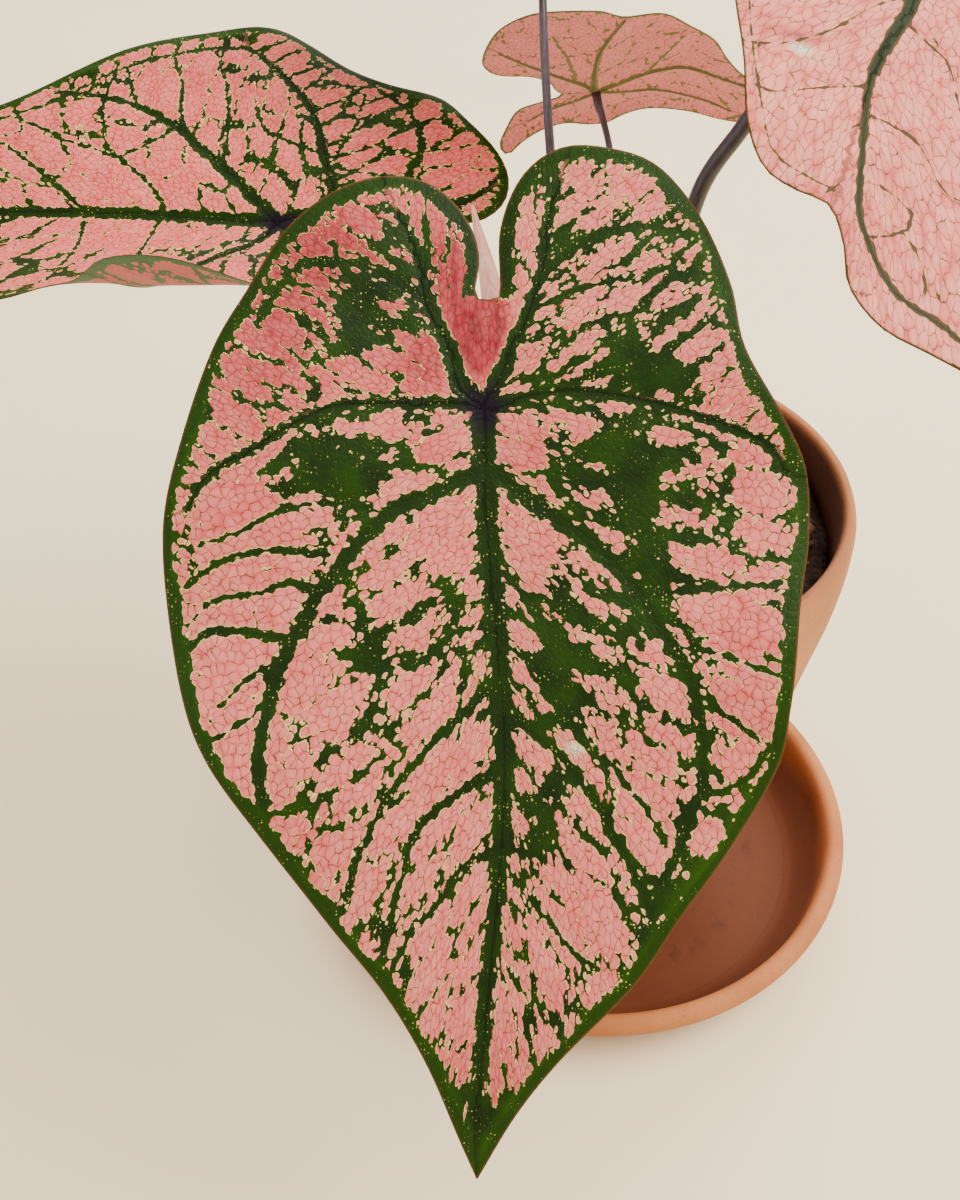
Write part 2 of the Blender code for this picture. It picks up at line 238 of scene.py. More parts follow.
class Paint:
    """A material's node tree, with short ways to add nodes to it."""

    def __init__(self, name: str, roughness: float, specular: float = 0.5) -> None:
        """Starts a Principled material whose roughness and specular level are the same all over.

        Args:
            name: The material's name.
            roughness: Its roughness.
            specular: Its specular level.
        """
        self.material = bpy.data.materials.new(name)
        self.material.use_nodes = True
        self.nodes = self.material.node_tree.nodes
        self.links = self.material.node_tree.links
        self.shader = self.nodes["Principled BSDF"]
        self.shader.inputs["Roughness"].default_value = roughness
        self.shader.inputs["Specular IOR Level"].default_value = specular

    def feed(self, socket: bpy.types.NodeSocket, value: Socket) -> None:
        """Links a socket to another, or sets it to a number or a colour.

        Args:
            socket: The input.
            value: What feeds it.
        """
        if isinstance(value, bpy.types.NodeSocket):
            self.links.new(value, socket)
        elif isinstance(value, tuple) and len(value) == 3 and len(socket.default_value) == 4:
            socket.default_value = (*value, 1.0)
        else:
            socket.default_value = value

    def add(self, kind: str, values: dict, **settings: object) -> bpy.types.Node:
        """Adds a node.

        Args:
            kind: Its type, without the prefix that all shader nodes share.
            values: What feeds its inputs, by input name.
            **settings: The node's own settings.

        Returns:
            The new node.
        """
        made = self.nodes.new("ShaderNode" + kind)
        for key, value in settings.items():
            setattr(made, key, value)
        for key, value in values.items():
            self.feed(made.inputs[key], value)
        return made

    def maths(self, operation: str, first: Socket, second: Socket = 0.0, third: Socket = 0.0) -> Socket:
        """One sum on up to three numbers."""
        return self.add("Math", {0: first, 1: second, 2: third}, operation=operation).outputs[0]

    def plus(self, first: Socket, second: Socket) -> Socket:
        """Two numbers added."""
        return self.maths("ADD", first, second)

    def minus(self, first: Socket, second: Socket) -> Socket:
        """The first number less the second."""
        return self.maths("SUBTRACT", first, second)

    def times(self, first: Socket, second: Socket) -> Socket:
        """Two numbers multiplied."""
        return self.maths("MULTIPLY", first, second)

    def times_plus(self, first: Socket, second: Socket, third: Socket) -> Socket:
        """Two numbers multiplied, plus a third."""
        return self.maths("MULTIPLY_ADD", first, second, third)

    def vector(self, operation: str, first: Socket, second: Socket) -> Socket:
        """One sum on two vectors."""
        return self.add("VectorMath", {0: first, 1: second}, operation=operation).outputs[0]

    def scaled(self, vector: Socket, scale: Socket) -> Socket:
        """A vector times a number."""
        return self.add("VectorMath", {0: vector, "Scale": scale}, operation="SCALE").outputs[0]

    def length(self, vector: Socket) -> Socket:
        """A vector's length."""
        return self.add("VectorMath", {0: vector}, operation="LENGTH").outputs["Value"]

    def fade(self, value: Socket, low: Socket, high: Socket) -> Socket:
        """A smooth step: 0 where the value is under low, and 1 where it is over high.

        Args:
            value: What is compared.
            low: Where the step starts.
            high: Where it ends.

        Returns:
            The step's height, 0 to 1.
        """
        node = self.add("MapRange", {"Value": value, "From Min": low, "From Max": high},
                        interpolation_type="SMOOTHSTEP")
        return node.outputs[0]

    def fade_out(self, value: Socket, low: Socket, high: Socket) -> Socket:
        """A smooth step down: 1 where the value is under low, and 0 where it is over high."""
        return self.minus(1.0, self.fade(value, low, high))

    def mix(self, share: Socket, first: Socket, second: Socket) -> Socket:
        """A colour between two others."""
        return self.add("Mix", {0: share, 6: first, 7: second}, data_type="RGBA").outputs[2]

    def noise(self, place: Socket, ripple: Ripple) -> bpy.types.Node:
        """A noise texture at a place."""
        return self.add("TexNoise", {"Vector": place, "Scale": ripple.scale, "Detail": ripple.detail})

    def cloud(self, place: Socket, ripple: Ripple) -> Socket:
        """A noise texture's number, near 0.5, at a place."""
        return self.noise(place, ripple).outputs[0]

    def patches(self, place: Socket, ripple: Ripple, low: float = 0.3, high: float = 0.7) -> Socket:
        """Soft random patches, from 0 to 1."""
        return self.fade(self.cloud(place, ripple), low, high)

    def cells(self, place: Socket, feature: str, flat: bool = True, spread: float = 1.0) -> bpy.types.Node:
        """A cell texture whose cells are one unit across; spread is how uneven they are."""
        return self.add("TexVoronoi", {"Vector": place, "Scale": 1.0, "Randomness": spread},
                        feature=feature, voronoi_dimensions="2D" if flat else "3D")

    def place(self) -> Socket:
        """Where a point is on its piece, in metres."""
        return self.add("TexCoord", {}).outputs["Object"]

    def number(self, name: str) -> Socket:
        """A number that the mesh holds for each of its points."""
        return self.add("Attribute", {}, attribute_name=name).outputs["Fac"]

    def parts(self, name: str) -> tuple[Socket, Socket, Socket]:
        """Three numbers that the mesh holds for each of its points."""
        return self.apart(self.add("Attribute", {}, attribute_name=name).outputs["Vector"])

    def apart(self, vector: Socket) -> tuple[Socket, Socket, Socket]:
        """A vector's three numbers."""
        node = self.add("SeparateXYZ", {0: vector})
        return node.outputs[0], node.outputs[1], node.outputs[2]

    def joined(self, x: Socket, y: Socket, z: Socket = 0.0) -> Socket:
        """A vector of three numbers."""
        return self.add("CombineXYZ", {0: x, 1: y, 2: z}).outputs[0]

    def finish(self, colour: Socket, relief: Socket, depth: float) -> bpy.types.Material:
        """Links the colour and a relief to the shader.

        Args:
            colour: The surface's colour.
            relief: Its height, 0 to 1.
            depth: How deep a height of 1 is, in metres.

        Returns:
            The material.
        """
        bump = self.add("Bump", {"Height": relief, "Distance": depth, "Strength": 1.0})
        self.feed(self.shader.inputs["Base Color"], colour)
        self.links.new(bump.outputs[0], self.shader.inputs["Normal"])
        return self.material


@dataclass(frozen=True)
class LeafFinish:
    """How a leaf is marked: its colours, and the sizes of its cells, in millimetres.

    A panel is a pink field between two green veins, and a cell is one of the small domes in it.
    """

    name: str
    pink: Colour = (0.6, 0.1, 0.088)
    rose: Colour = (0.34, 0.012, 0.028)
    crimson: Colour = (0.13, 0.002, 0.012)
    pale: Colour = (0.72, 0.26, 0.205)
    cream: Colour = (0.64, 0.42, 0.16)
    scar: Colour = (0.6, 0.62, 0.42)
    line: Colour = (0.16, 0.03, 0.012)
    green: Colour = (0.011, 0.034, 0.0002)
    deep: Colour = (0.0045, 0.014, 0.0002)
    # Painted highlight: the lighter green of the outer margins.
    margin_highlight: Colour = (0.022, 0.07, 0.0006)
    speck: Colour = (0.2, 0.3, 0.02)
    edge: Colour = (0.07, 0.03, 0.004)
    heart: Colour = (0.006, 0.002, 0.007)
    thin_vein: Colour = (0.075, 0.036, 0.012)
    thin_share: float = 0.0
    under_green: Colour = (0.07, 0.12, 0.05)
    under_pink: Colour = (0.6, 0.2, 0.19)
    under_share: float = 0.65
    roughness: float = 0.5
    gloss: float = 0.1
    relief: float = 0.00012
    panel_wide: float = 6.0
    panel_long: float = 20.0
    panel_spread: float = 0.7
    panel_bends: tuple[Ripple, Ripple] = (Ripple(0.1, 2.0, 4.0), Ripple(0.7, 2.0, 1.2))
    panel_line: float = 0.5
    zone_line: float = 0.5
    least_line: float = 0.14
    deepest_panel: float = 1.9
    zone_weight: float = 0.55
    calm_zone: Pair = (0.2, 2.4)
    drift: Ripple = Ripple(0.16, 1.5, 1.6)
    swing: Ripple = Ripple(0.3, 1.0, 1.6)
    ragged: float = 0.9
    cell_wide: float = 1.25
    cell_long: float = 2.2
    cell_bend: Ripple = Ripple(0.9, 2.0, 0.7)
    cell_line: float = 0.075
    scallop: float = 1.4
    calm_scallop: float = 0.25
    scatter: float = 1.6
    calm_scatter: float = 0.65
    speckle: float = 0.2
    outline: float = 0.26
    vein_blush: float = 0.0

    def material(self) -> bpy.types.Material:
        """The leaf's material: pink panels of small cells, parted by green veins.

        Returns:
            The material.
        """
        paint = Paint(self.name, self.roughness, self.gloss)
        u, v, zone = paint.parts("flat")
        across, along, gap = paint.parts("grain")
        blush, pale, margin = paint.parts("tint")
        flat = paint.joined(u, v)
        grain = paint.joined(across, along)

        panel = self.panel_distance(paint, flat, grain, zone)
        fine = paint.vector("ADD", grain, self.bent(paint, flat, self.cell_bend))
        stretched = paint.vector("DIVIDE", fine, (self.cell_wide, self.cell_long, 1.0))
        cell = paint.cells(stretched, "F1")
        border = paint.cells(stretched, "DISTANCE_TO_EDGE").outputs["Distance"]
        middle = cell.outputs["Distance"]
        chance, shade, _ = paint.apart(cell.outputs["Color"])

        field = self.pink_field(paint, flat, panel, zone, gap, chance, middle)
        is_pink = paint.fade(field, -0.04, 0.04)
        is_inner = paint.fade(field, self.outline * 0.45, self.outline)
        pinks = self.pinks(paint, flat, middle, panel, blush, shade)
        pinks = paint.mix(pale, pinks, self.scar)
        pinks = self.lined(paint, flat, border, pinks)
        edging = paint.mix(paint.fade(blush, 0.75, 1.05), self.cream, self.rose)
        colour = paint.mix(is_inner, edging, pinks)
        colour = paint.mix(is_pink, self.greens(paint, flat, gap, margin), colour)
        colour = paint.mix(self.heart_share(paint, flat, gap), colour, self.heart)
        colour = paint.mix(paint.fade_out(margin, 0.1, 0.55), colour, self.edge)
        below = paint.mix(is_pink, self.under_green, paint.mix(self.under_share, pinks, self.under_pink))
        colour = paint.mix(paint.number("under"), colour, below)

        domes = paint.times(paint.minus(1.0, middle), 0.3)
        ridges = paint.times(paint.fade(border, 0.0, 0.22), 0.4)
        creases = paint.times(paint.fade(panel, -0.6, 1.4), 0.5)
        return paint.finish(colour, paint.plus(paint.plus(domes, ridges), creases), self.relief)

    def bent(self, paint: Paint, flat: Socket, bend: Ripple) -> Socket:
        """A small random push, in millimetres, that keeps lines from running straight."""
        push = paint.vector("SUBTRACT", paint.noise(flat, bend).outputs["Color"], (0.5, 0.5, 0.5))
        return paint.scaled(push, bend.strength)

    def panel_distance(self, paint: Paint, flat: Socket, grain: Socket, zone: Socket) -> Socket:
        """How far a point lies inside its panel, in millimetres, less the vein's half width.

        Args:
            paint: The material.
            flat: The place on the flat drawing.
            grain: The place across and along the panels.
            zone: How pink the region is.

        Returns:
            The distance.
        """
        for bend in self.panel_bends:
            grain = paint.vector("ADD", grain, self.bent(paint, flat, bend))
        cut = paint.vector("DIVIDE", grain, (self.panel_wide, self.panel_long, 1.0))
        away = paint.cells(cut, "DISTANCE_TO_EDGE", spread=self.panel_spread).outputs["Distance"]
        width = paint.times_plus(zone, -self.zone_line, self.panel_line)
        width = paint.maths("MAXIMUM", width, self.least_line)
        uneven = paint.times_plus(paint.patches(flat, Ripple(0.13)), 1.3, 0.35)
        return paint.minus(paint.times(away, self.panel_wide), paint.times(width, uneven))

    def pink_field(self, paint: Paint, flat: Socket, panel: Socket, zone: Socket, gap: Socket,
                   chance: Socket, middle: Socket) -> Socket:
        """A number over 0 where the blade is pink, and under 0 where it is green.

        Args:
            paint: The material.
            flat: The place on the flat drawing.
            panel: How far inside its panel the place is.
            zone: How pink the region is.
            gap: How far outside the ribs' bands the place is.
            chance: A random number for each cell.
            middle: How far the place is from its cell's middle.

        Returns:
            The number.
        """
        calm = paint.fade(zone, *self.calm_zone)
        scatter = paint.times_plus(calm, -self.calm_scatter * self.scatter, self.scatter)
        scallop = paint.times_plus(calm, -self.calm_scallop * self.scallop, self.scallop)
        luck = paint.times(paint.minus(chance, 0.5), scatter)
        rounding = paint.times(middle, scallop)

        room = paint.maths("MINIMUM", panel, self.deepest_panel)
        inside = paint.plus(paint.times_plus(zone, self.zone_weight, room), luck)
        drift = paint.minus(paint.cloud(flat, self.drift), 0.5)
        inside = paint.times_plus(drift, self.drift.strength, paint.minus(inside, rounding))

        beside = paint.plus(paint.times_plus(luck, self.ragged, gap), 0.3 * self.ragged)
        beside = paint.times_plus(rounding, -1.1 * self.ragged, beside)
        swing = paint.minus(paint.cloud(flat, self.swing), 0.42)
        beside = paint.times_plus(swing, self.swing.strength * self.ragged, beside)
        return paint.maths("MINIMUM", inside, beside)

    def pinks(self, paint: Paint, flat: Socket, middle: Socket, panel: Socket, blush: Socket,
              shade: Socket) -> Socket:
        """The panels' colour, with each cell's middle and each panel's middle paler, as painted highlights.

        Args:
            paint: The material.
            flat: The place on the flat drawing.
            middle: How far the place is from its cell's middle.
            panel: How far inside its panel the place is.
            blush: How far the pink has turned to rose.
            shade: A random number for each cell.

        Returns:
            The colour.
        """
        base = self.blushed(paint, flat, panel, blush)
        plain = paint.times_plus(blush, -0.8, 1.0)
        # Painted highlight: each cell's dome is paler towards its middle.
        light = paint.mix(paint.times(plain, 0.42), base, self.pale)
        base = paint.mix(paint.fade(middle, 0.05, 0.75), light, base)
        patchy = paint.times(paint.patches(flat, Ripple(0.3, 3.0)), paint.times(plain, 0.3))
        base = paint.mix(patchy, base, self.pale)
        # Painted highlight: each panel is paler towards its middle, away from its veins.
        panel_highlight = paint.times(paint.fade(panel, 0.6, 3.0), paint.times(plain, 0.4))
        base = paint.mix(panel_highlight, base, self.pale)
        return paint.mix(paint.times(shade, 0.2), base, self.rose)

    def blushed(self, paint: Paint, flat: Socket, panel: Socket, blush: Socket) -> Socket:
        """Pink that turns to rose, and then to crimson streaks that run with the midrib.

        Args:
            paint: The material.
            flat: The place on the flat drawing.
            panel: How far inside its panel the place is.
            blush: How far the pink has turned to rose.

        Returns:
            The colour.
        """
        base = paint.mix(blush, self.pink, self.rose)
        u, v, _ = paint.apart(flat)
        lengthwise = paint.joined(u, paint.times(v, 0.16))
        streaks = paint.patches(lengthwise, Ripple(0.8, 3.0), 0.42, 0.6)
        deepest = paint.times(paint.fade(blush, 0.45, 1.05), paint.times_plus(streaks, 0.7, 0.25))
        base = paint.mix(deepest, base, self.crimson)
        if self.vein_blush:
            beside = paint.times(paint.fade_out(panel, -0.3, 1.1), self.vein_blush)
            base = paint.mix(beside, base, self.rose)
        return base

    def lined(self, paint: Paint, flat: Socket, border: Socket, base: Socket) -> Socket:
        """A colour with the fine lines between the cells, red in some places and green in others.

        Args:
            paint: The material.
            flat: The place on the flat drawing.
            border: How far the place is from its cell's edge.
            base: The colour without lines.

        Returns:
            The colour.
        """
        strength = paint.patches(flat, Ripple(0.5), 0.35, 0.62)
        thin = paint.fade_out(border, self.cell_line * 0.4, self.cell_line)
        ink = paint.mix(paint.patches(flat, Ripple(0.22, 1.0), 0.45, 0.6), self.line, self.green)
        return paint.mix(paint.times(thin, paint.times_plus(strength, 0.6, 0.25)), base, ink)

    def greens(self, paint: Paint, flat: Socket, gap: Socket, margin: Socket) -> Socket:
        """The green parts: deeper along the ribs, lighter at the outer margin as a painted highlight, with
        tiny pale specks.

        Args:
            paint: The material.
            flat: The place on the flat drawing.
            gap: How far outside the ribs' bands the place is.
            margin: How far the place is from the outline.

        Returns:
            The colour.
        """
        base = paint.mix(paint.patches(flat, Ripple(0.09, 4.0)), self.green, self.deep)
        # Painted highlight: the outer margins turn lighter green, but not near the joint and the notch,
        # which are kept dark as if in shadow.
        outer = paint.times(paint.fade_out(margin, 1.0, 6.0), paint.fade(paint.length(flat), 35.0, 75.0))
        base = paint.mix(paint.times(outer, 0.6), base, self.margin_highlight)
        base = paint.mix(paint.times(paint.fade_out(gap, -1.4, 0.2), 0.55), base, self.deep)
        thin = paint.times(paint.fade(gap, -0.9, -0.35), self.thin_share)
        base = paint.mix(thin, base, self.thin_vein)

        small = paint.cells(paint.scaled(flat, 1.05), "F1")
        large, bright, _ = paint.apart(small.outputs["Color"])
        crowd = paint.times_plus(paint.patches(flat, Ripple(0.14), 0.42, 0.66), 1.1, 0.15)
        size = paint.times(paint.times(paint.maths("POWER", large, 3.0), self.speckle), crowd)
        is_speck = paint.maths("LESS_THAN", small.outputs["Distance"], size)
        return paint.mix(is_speck, base, paint.mix(bright, self.cream, self.speck))

    def heart_share(self, paint: Paint, flat: Socket, gap: Socket) -> Socket:
        """How much of the dark purple of the joint shows, which spreads a little along the ribs.

        Args:
            paint: The material.
            flat: The place on the flat drawing.
            gap: How far outside the ribs' bands the place is.

        Returns:
            The share, 0 to 1.
        """
        away = paint.length(flat)
        near = paint.times(paint.fade_out(away, 1.5, 9.0), paint.fade_out(gap, -0.6, 0.6))
        return paint.maths("MAXIMUM", near, paint.fade_out(away, 1.5, 5.5))


@dataclass(frozen=True)
class ClayFinish:
    """Unglazed clay: its colours, where it is stained, the painted shade inside the vessel, and its grain,
    in metres.
    """

    name: str
    light: Colour
    dark: Colour
    # inside is the colour of the painted shade within the vessel.
    inside: Colour
    stain: Colour = (0.05, 0.02, 0.01)
    stain_radius: float = 0.0
    stain_height: Pair = (0.009, 0.014)
    damp_height: float = -1.0
    damp_fade: float = 0.03
    inner_shade_share: float = 0.9
    roughness: float = 0.74
    gloss: float = 0.3
    relief: float = 0.00025

    def material(self) -> bpy.types.Material:
        """The clay's material, with soft cloudy patches, fine grains, turning lines, stains and painted
        shade inside the vessel.

        Returns:
            The material.
        """
        paint = Paint(self.name, self.roughness, self.gloss)
        place = paint.place()
        x, y, z = paint.apart(place)
        cloud = paint.cloud(place, Ripple(22.0, 4.0))
        grain = paint.cloud(place, Ripple(900.0, 3.0))
        colour = paint.mix(paint.fade(cloud, 0.32, 0.68), self.dark, self.light)
        colour = paint.mix(paint.fade(grain, 0.58, 0.75), colour, self.dark)
        if self.stain_radius:
            away = paint.length(paint.joined(x, y))
            ring = paint.maths("ABSOLUTE", paint.minus(away, self.stain_radius))
            patches = paint.patches(place, Ripple(130.0, 3.0), 0.5, 0.66)
            dirt = paint.times(paint.fade_out(ring, 0.001, 0.006), patches)
            dirt = paint.times(dirt, paint.fade_out(z, *self.stain_height))
            colour = paint.mix(paint.times(dirt, 0.75), colour, self.stain)
        # Painted shade: rows inside the vessel are darkened towards the inside colour by their inner depth,
        # with a cloudy edge.
        uneven = paint.times_plus(paint.minus(cloud, 0.5), 0.8, paint.number("inner"))
        inner = paint.times(paint.fade(uneven, 0.2, 0.8), self.inner_shade_share)
        colour = paint.mix(inner, colour, self.inside)
        if self.damp_height > 0:
            edge = paint.plus(z, paint.times(cloud, self.damp_fade))
            damp = paint.fade_out(edge, self.damp_height, self.damp_height + self.damp_fade)
            colour = paint.mix(paint.times(damp, 0.35), colour, self.dark)
        turning = paint.cloud(paint.joined(0.0, 0.0, z), Ripple(260.0))
        relief = paint.plus(paint.times(grain, 0.5), paint.times(turning, 0.5))
        return paint.finish(colour, relief, self.relief)


@dataclass(frozen=True)
class SoilFinish:
    """Dark potting soil."""

    name: str
    dark: Colour = (0.018, 0.011, 0.008)
    light: Colour = (0.06, 0.034, 0.02)
    straw: Colour = (0.26, 0.15, 0.085)
    roughness: float = 0.95
    gloss: float = 0.2
    relief: float = 0.0006

    def material(self) -> bpy.types.Material:
        """The soil's material: dark, with lighter brown crumbs and straw-brown fibres.

        Returns:
            The material.
        """
        paint = Paint(self.name, self.roughness, self.gloss)
        place = paint.place()
        crumb = paint.cells(paint.scaled(place, 420.0), "F1", flat=False)
        chance = paint.apart(crumb.outputs["Color"])[0]
        colour = paint.mix(paint.patches(place, Ripple(160.0, 5.0), 0.42, 0.68), self.dark, self.light)
        colour = paint.mix(paint.times(chance, 0.5), colour, self.dark)
        colour = paint.mix(paint.number("tone"), colour, self.straw)
        relief = paint.plus(paint.cloud(place, Ripple(700.0, 4.0)), crumb.outputs["Distance"])
        return paint.finish(colour, relief, self.relief)


@dataclass(frozen=True)
class StalkFinish:
    """A leaf stalk's skin: a dark ground with fine lengthwise streaks."""

    name: str
    ground: Colour = (0.022, 0.018, 0.022)
    streak: Colour = (0.075, 0.06, 0.075)
    streak_share: float = 0.5
    around: float = 9.0
    along: float = 55.0
    roughness: float = 0.38
    gloss: float = 0.5
    relief: float = 0.00012

    def material(self) -> bpy.types.Material:
        """The stalk's material, streaked along its length.

        Returns:
            The material.
        """
        paint = Paint(self.name, self.roughness, self.gloss)
        around, along, _ = paint.parts("skin")
        stretched = paint.joined(paint.times(around, self.around), paint.times(along, self.along))
        lines = paint.cloud(stretched, Ripple(1.0, 3.0))
        share = paint.times(paint.fade(lines, 0.4, 0.7), self.streak_share)
        return paint.finish(paint.mix(share, self.ground, self.streak), lines, self.relief)


@dataclass(frozen=True)
class RollFinish:
    """The new leaf's pale skin, with fine slanting veins."""

    name: str = "rolled_leaf_skin"
    pink: Colour = (0.78, 0.34, 0.3)
    light: Colour = (0.84, 0.52, 0.45)
    vein: Colour = (0.5, 0.2, 0.14)
    vein_share: float = 0.3
    roughness: float = 0.45
    gloss: float = 0.4
    relief: float = 0.0002

    def material(self) -> bpy.types.Material:
        """The roll's material, whose veins climb as they go round.

        Returns:
            The material.
        """
        paint = Paint(self.name, self.roughness, self.gloss)
        around, along, _ = paint.parts("skin")
        slant = paint.plus(paint.times(around, 3.0), paint.times(along, 26.0))
        place = paint.joined(slant, paint.times(around, 1.5))
        lines = paint.cells(place, "DISTANCE_TO_EDGE").outputs["Distance"]
        base = paint.mix(paint.patches(place, Ripple(0.8, 3.0), 0.35, 0.65), self.pink, self.light)
        share = paint.times(paint.fade_out(lines, 0.02, 0.1), self.vein_share)
        return paint.finish(paint.mix(share, base, self.vein), lines, self.relief)


@dataclass(frozen=True)
class FloorFinish:
    """The floor's pale paint."""

    name: str = "floor_paint"
    colour: Colour = (0.9, 0.77, 0.5)
    darkest: float = 0.95
    roughness: float = 0.9
    gloss: float = 0.2
    relief: float = 0.0001

    def material(self) -> bpy.types.Material:
        """The floor's material, a little cloudy.

        Returns:
            The material.
        """
        paint = Paint(self.name, self.roughness, self.gloss)
        cloud = paint.cloud(paint.place(), Ripple(3.0, 3.0))
        darker = tuple(self.darkest * part for part in self.colour)
        return paint.finish(paint.mix(paint.fade(cloud, 0.3, 0.7), darker, self.colour), cloud, self.relief)


Finish = LeafFinish | ClayFinish | SoilFinish | StalkFinish | RollFinish


@dataclass(frozen=True)
class Rib:
    """A vein on the flat drawing. A width is half of its green band, in millimetres."""

    points: tuple[Flat, ...]
    start: float
    end: float
    relief: float = 1.0


@dataclass(frozen=True)
class Patch:
    """A soft oval on the flat drawing where the markings change, with its place and size."""

    u: float
    v: float
    wide: float
    tall: float
    amount: float

    def at(self, u: np.ndarray, v: np.ndarray) -> np.ndarray:
        """How much the patch adds at each point."""
        return self.amount * np.exp(-(((u - self.u) / self.wide) ** 2 + ((v - self.v) / self.tall) ** 2))


@dataclass(frozen=True)
class BladeShape:
    """A blade's flat outline, the height over it, and how it stands, in millimetres.

    left is the outline where u is over 0, and right is the other side, each from the notch round
    a lobe to the tip. Pairs give a value for each of these sides. curl is how strongly the right
    side curls up, how far out that starts, and its middle and its reach along the blade.
    """

    joint: Place
    along: Place
    facing: Place
    left: tuple[Flat, ...]
    right: tuple[Flat, ...]
    tip: Flat
    arch: float = 0.001
    lobe_arch: float = 0.003
    fold: Pair = (0.1, 0.1)
    droop: Pair = (0.0015, 0.0015)
    curl: tuple[float, float, float, float] = (0.0, 0.0, 0.0, 1.0)
    wave: float = 1.2
    wave_length: float = 70.0
    wave_starts: Pair = (0.6, 2.7)
    wave_reach: float = 60.0
    softness: float = 8.0
    notch_rise: float = 1.2

    def axes(self) -> tuple[np.ndarray, np.ndarray, np.ndarray]:
        """The directions across the blade, along it and out of its upper side.

        Returns:
            Three unit vectors.
        """
        along = np.array(self.along) / np.linalg.norm(self.along)
        facing = np.array(self.facing)
        normal = facing - along * (facing @ along)
        normal /= np.linalg.norm(normal)
        return np.cross(along, normal), along, normal

    def height(self, u: np.ndarray, v: np.ndarray) -> np.ndarray:
        """How far the blade stands over its flat drawing at each point.

        Args:
            u: The points' places across the blade.
            v: Their places along it.

        Returns:
            The heights, in millimetres.
        """
        first = u > 0
        arch = np.where(v > 0, self.arch, self.lobe_arch)
        fold = np.where(first, *self.fold)
        droop = np.where(first, *self.droop)
        turn = 2 * math.pi * v / self.wave_length + np.where(first, *self.wave_starts)
        strength, start, middle, reach = self.curl
        past = np.maximum(0.0, -u - start)
        curl = strength / 2 * past**2 * np.exp(-(((v - middle) / reach) ** 4))
        wave = self.wave * (u / self.wave_reach) ** 2 * np.sin(turn)
        trough = fold * (np.hypot(u, self.softness) - self.softness)
        return trough - arch * v**2 / 2 - droop * u**2 / 2 + wave + curl

    def place(self, u: np.ndarray, v: np.ndarray, lift: np.ndarray) -> np.ndarray:
        """Where flat points stand in the scene, lifted off the blade's sheet, in metres.

        Args:
            u: The points' places across the blade.
            v: Their places along it.
            lift: How far each is lifted off the sheet.

        Returns:
            The places, one a row.
        """
        across, along, normal = self.axes()
        over = self.height(u, v) + lift
        points = np.array(self.joint) + np.outer(u, across) + np.outer(v, along) + np.outer(over, normal)
        return points * MM

    def outline(self, spacing: float) -> np.ndarray:
        """The flat outline as one loop of evenly spaced points that runs anticlockwise.

        Args:
            spacing: About how far apart the points are.

        Returns:
            The points, one a row.
        """
        (u, v), (other_u, other_v) = self.left[0], self.right[0]
        notch = ((u + other_u) / 2, max(v, other_v) + self.notch_rise)
        round_it = (self.tip, *self.right[::-1], notch, *self.left, self.tip)
        loop = spaced(smooth_path(round_it, 8), spacing)[:-1]
        x, y = loop.T
        area = np.sum(x * np.roll(y, -1) - y * np.roll(x, -1))
        return loop if area > 0 else loop[::-1]


@dataclass(frozen=True)
class Grain:
    """The way a blade's panels run: from the midrib towards the tip, and out along each lobe.

    slope is how steeply they leave the midrib, and steepen is how much more so for each millimetre
    further along it. bend is the length over which they turn up. shift parts the sectors' patterns,
    and read_at is how far out the ribs' bearings are compared.
    """

    slope: float = 0.25
    steepen: float = 0.0125
    bend: float = 200.0
    shift: float = 97.0
    read_at: float = 20.0

    def at(self, flat: np.ndarray, ribs: tuple[Rib, ...]) -> np.ndarray:
        """Two coordinates for each flat point: one across the panels and one along them.

        Args:
            flat: The flat points.
            ribs: The blade's ribs, of which the first is the midrib. Those that leave the joint
                part the blade into sectors.

        Returns:
            The coordinates in millimetres, one point a row.
        """
        u, v = flat.T
        reach = np.hypot(u, v)
        bearing = np.arctan2(u, v)
        bounds = [self.bearings(rib) for rib in ribs if rib.points[0] == (0, 0)]
        midrib = bounds[0]
        bounds.sort(key=self.heading)
        angles = [self.heading(bound) for bound in bounds]
        sector = sum((bearing > np.interp(reach, *bound)).astype(int) for bound in bounds)
        after_midrib = angles.index(self.heading(midrib)) + 1

        line = smooth_path(ribs[0].points, 5)
        out = np.abs(u - np.interp(v, line[:, 1], line[:, 0]))
        run = out - out**2 / self.bend
        ahead = v - self.slope * run
        start = ahead / (1 + self.steepen * run)
        along = np.hypot(out, v - start)
        steepness = self.slope + self.steepen * start
        across = (np.arcsinh(steepness) - math.asinh(self.slope)) / self.steepen
        for number in range(len(bounds) + 1):
            if number in (after_midrib - 1, after_midrib):
                continue
            at_notch = number in (0, len(bounds))
            way = math.pi if at_notch else (angles[number - 1] + angles[number]) / 2
            here = sector == number
            across = np.where(here, u * math.cos(way) - v * math.sin(way), across)
            along = np.where(here, u * math.sin(way) + v * math.cos(way), along)
        offset = np.where((sector == 0) | (sector == len(bounds)), 0, sector)
        return np.column_stack([across + self.shift * offset, along])

    def heading(self, bound: tuple[np.ndarray, np.ndarray]) -> float:
        """A rib's bearing a little way out from the joint."""
        return float(np.interp(self.read_at, *bound))

    @staticmethod
    def bearings(rib: Rib) -> tuple[np.ndarray, np.ndarray]:
        """A rib's distances from the joint, and its bearings there.

        Args:
            rib: The rib.

        Returns:
            The distances, which rise, and the bearings.
        """
        line = smooth_path(rib.points, 5)[1:]
        reach = np.maximum.accumulate(np.hypot(*line.T)) + np.arange(len(line)) * 1e-6
        return reach, np.arctan2(line[:, 0], line[:, 1])


class Maker:
    """What the makers of all pieces share: one finish that covers the piece."""

    finish: Finish

    def dress(self, piece: bpy.types.Object) -> None:
        """Gives the piece its finish."""
        piece.data.materials.append(self.finish.material())


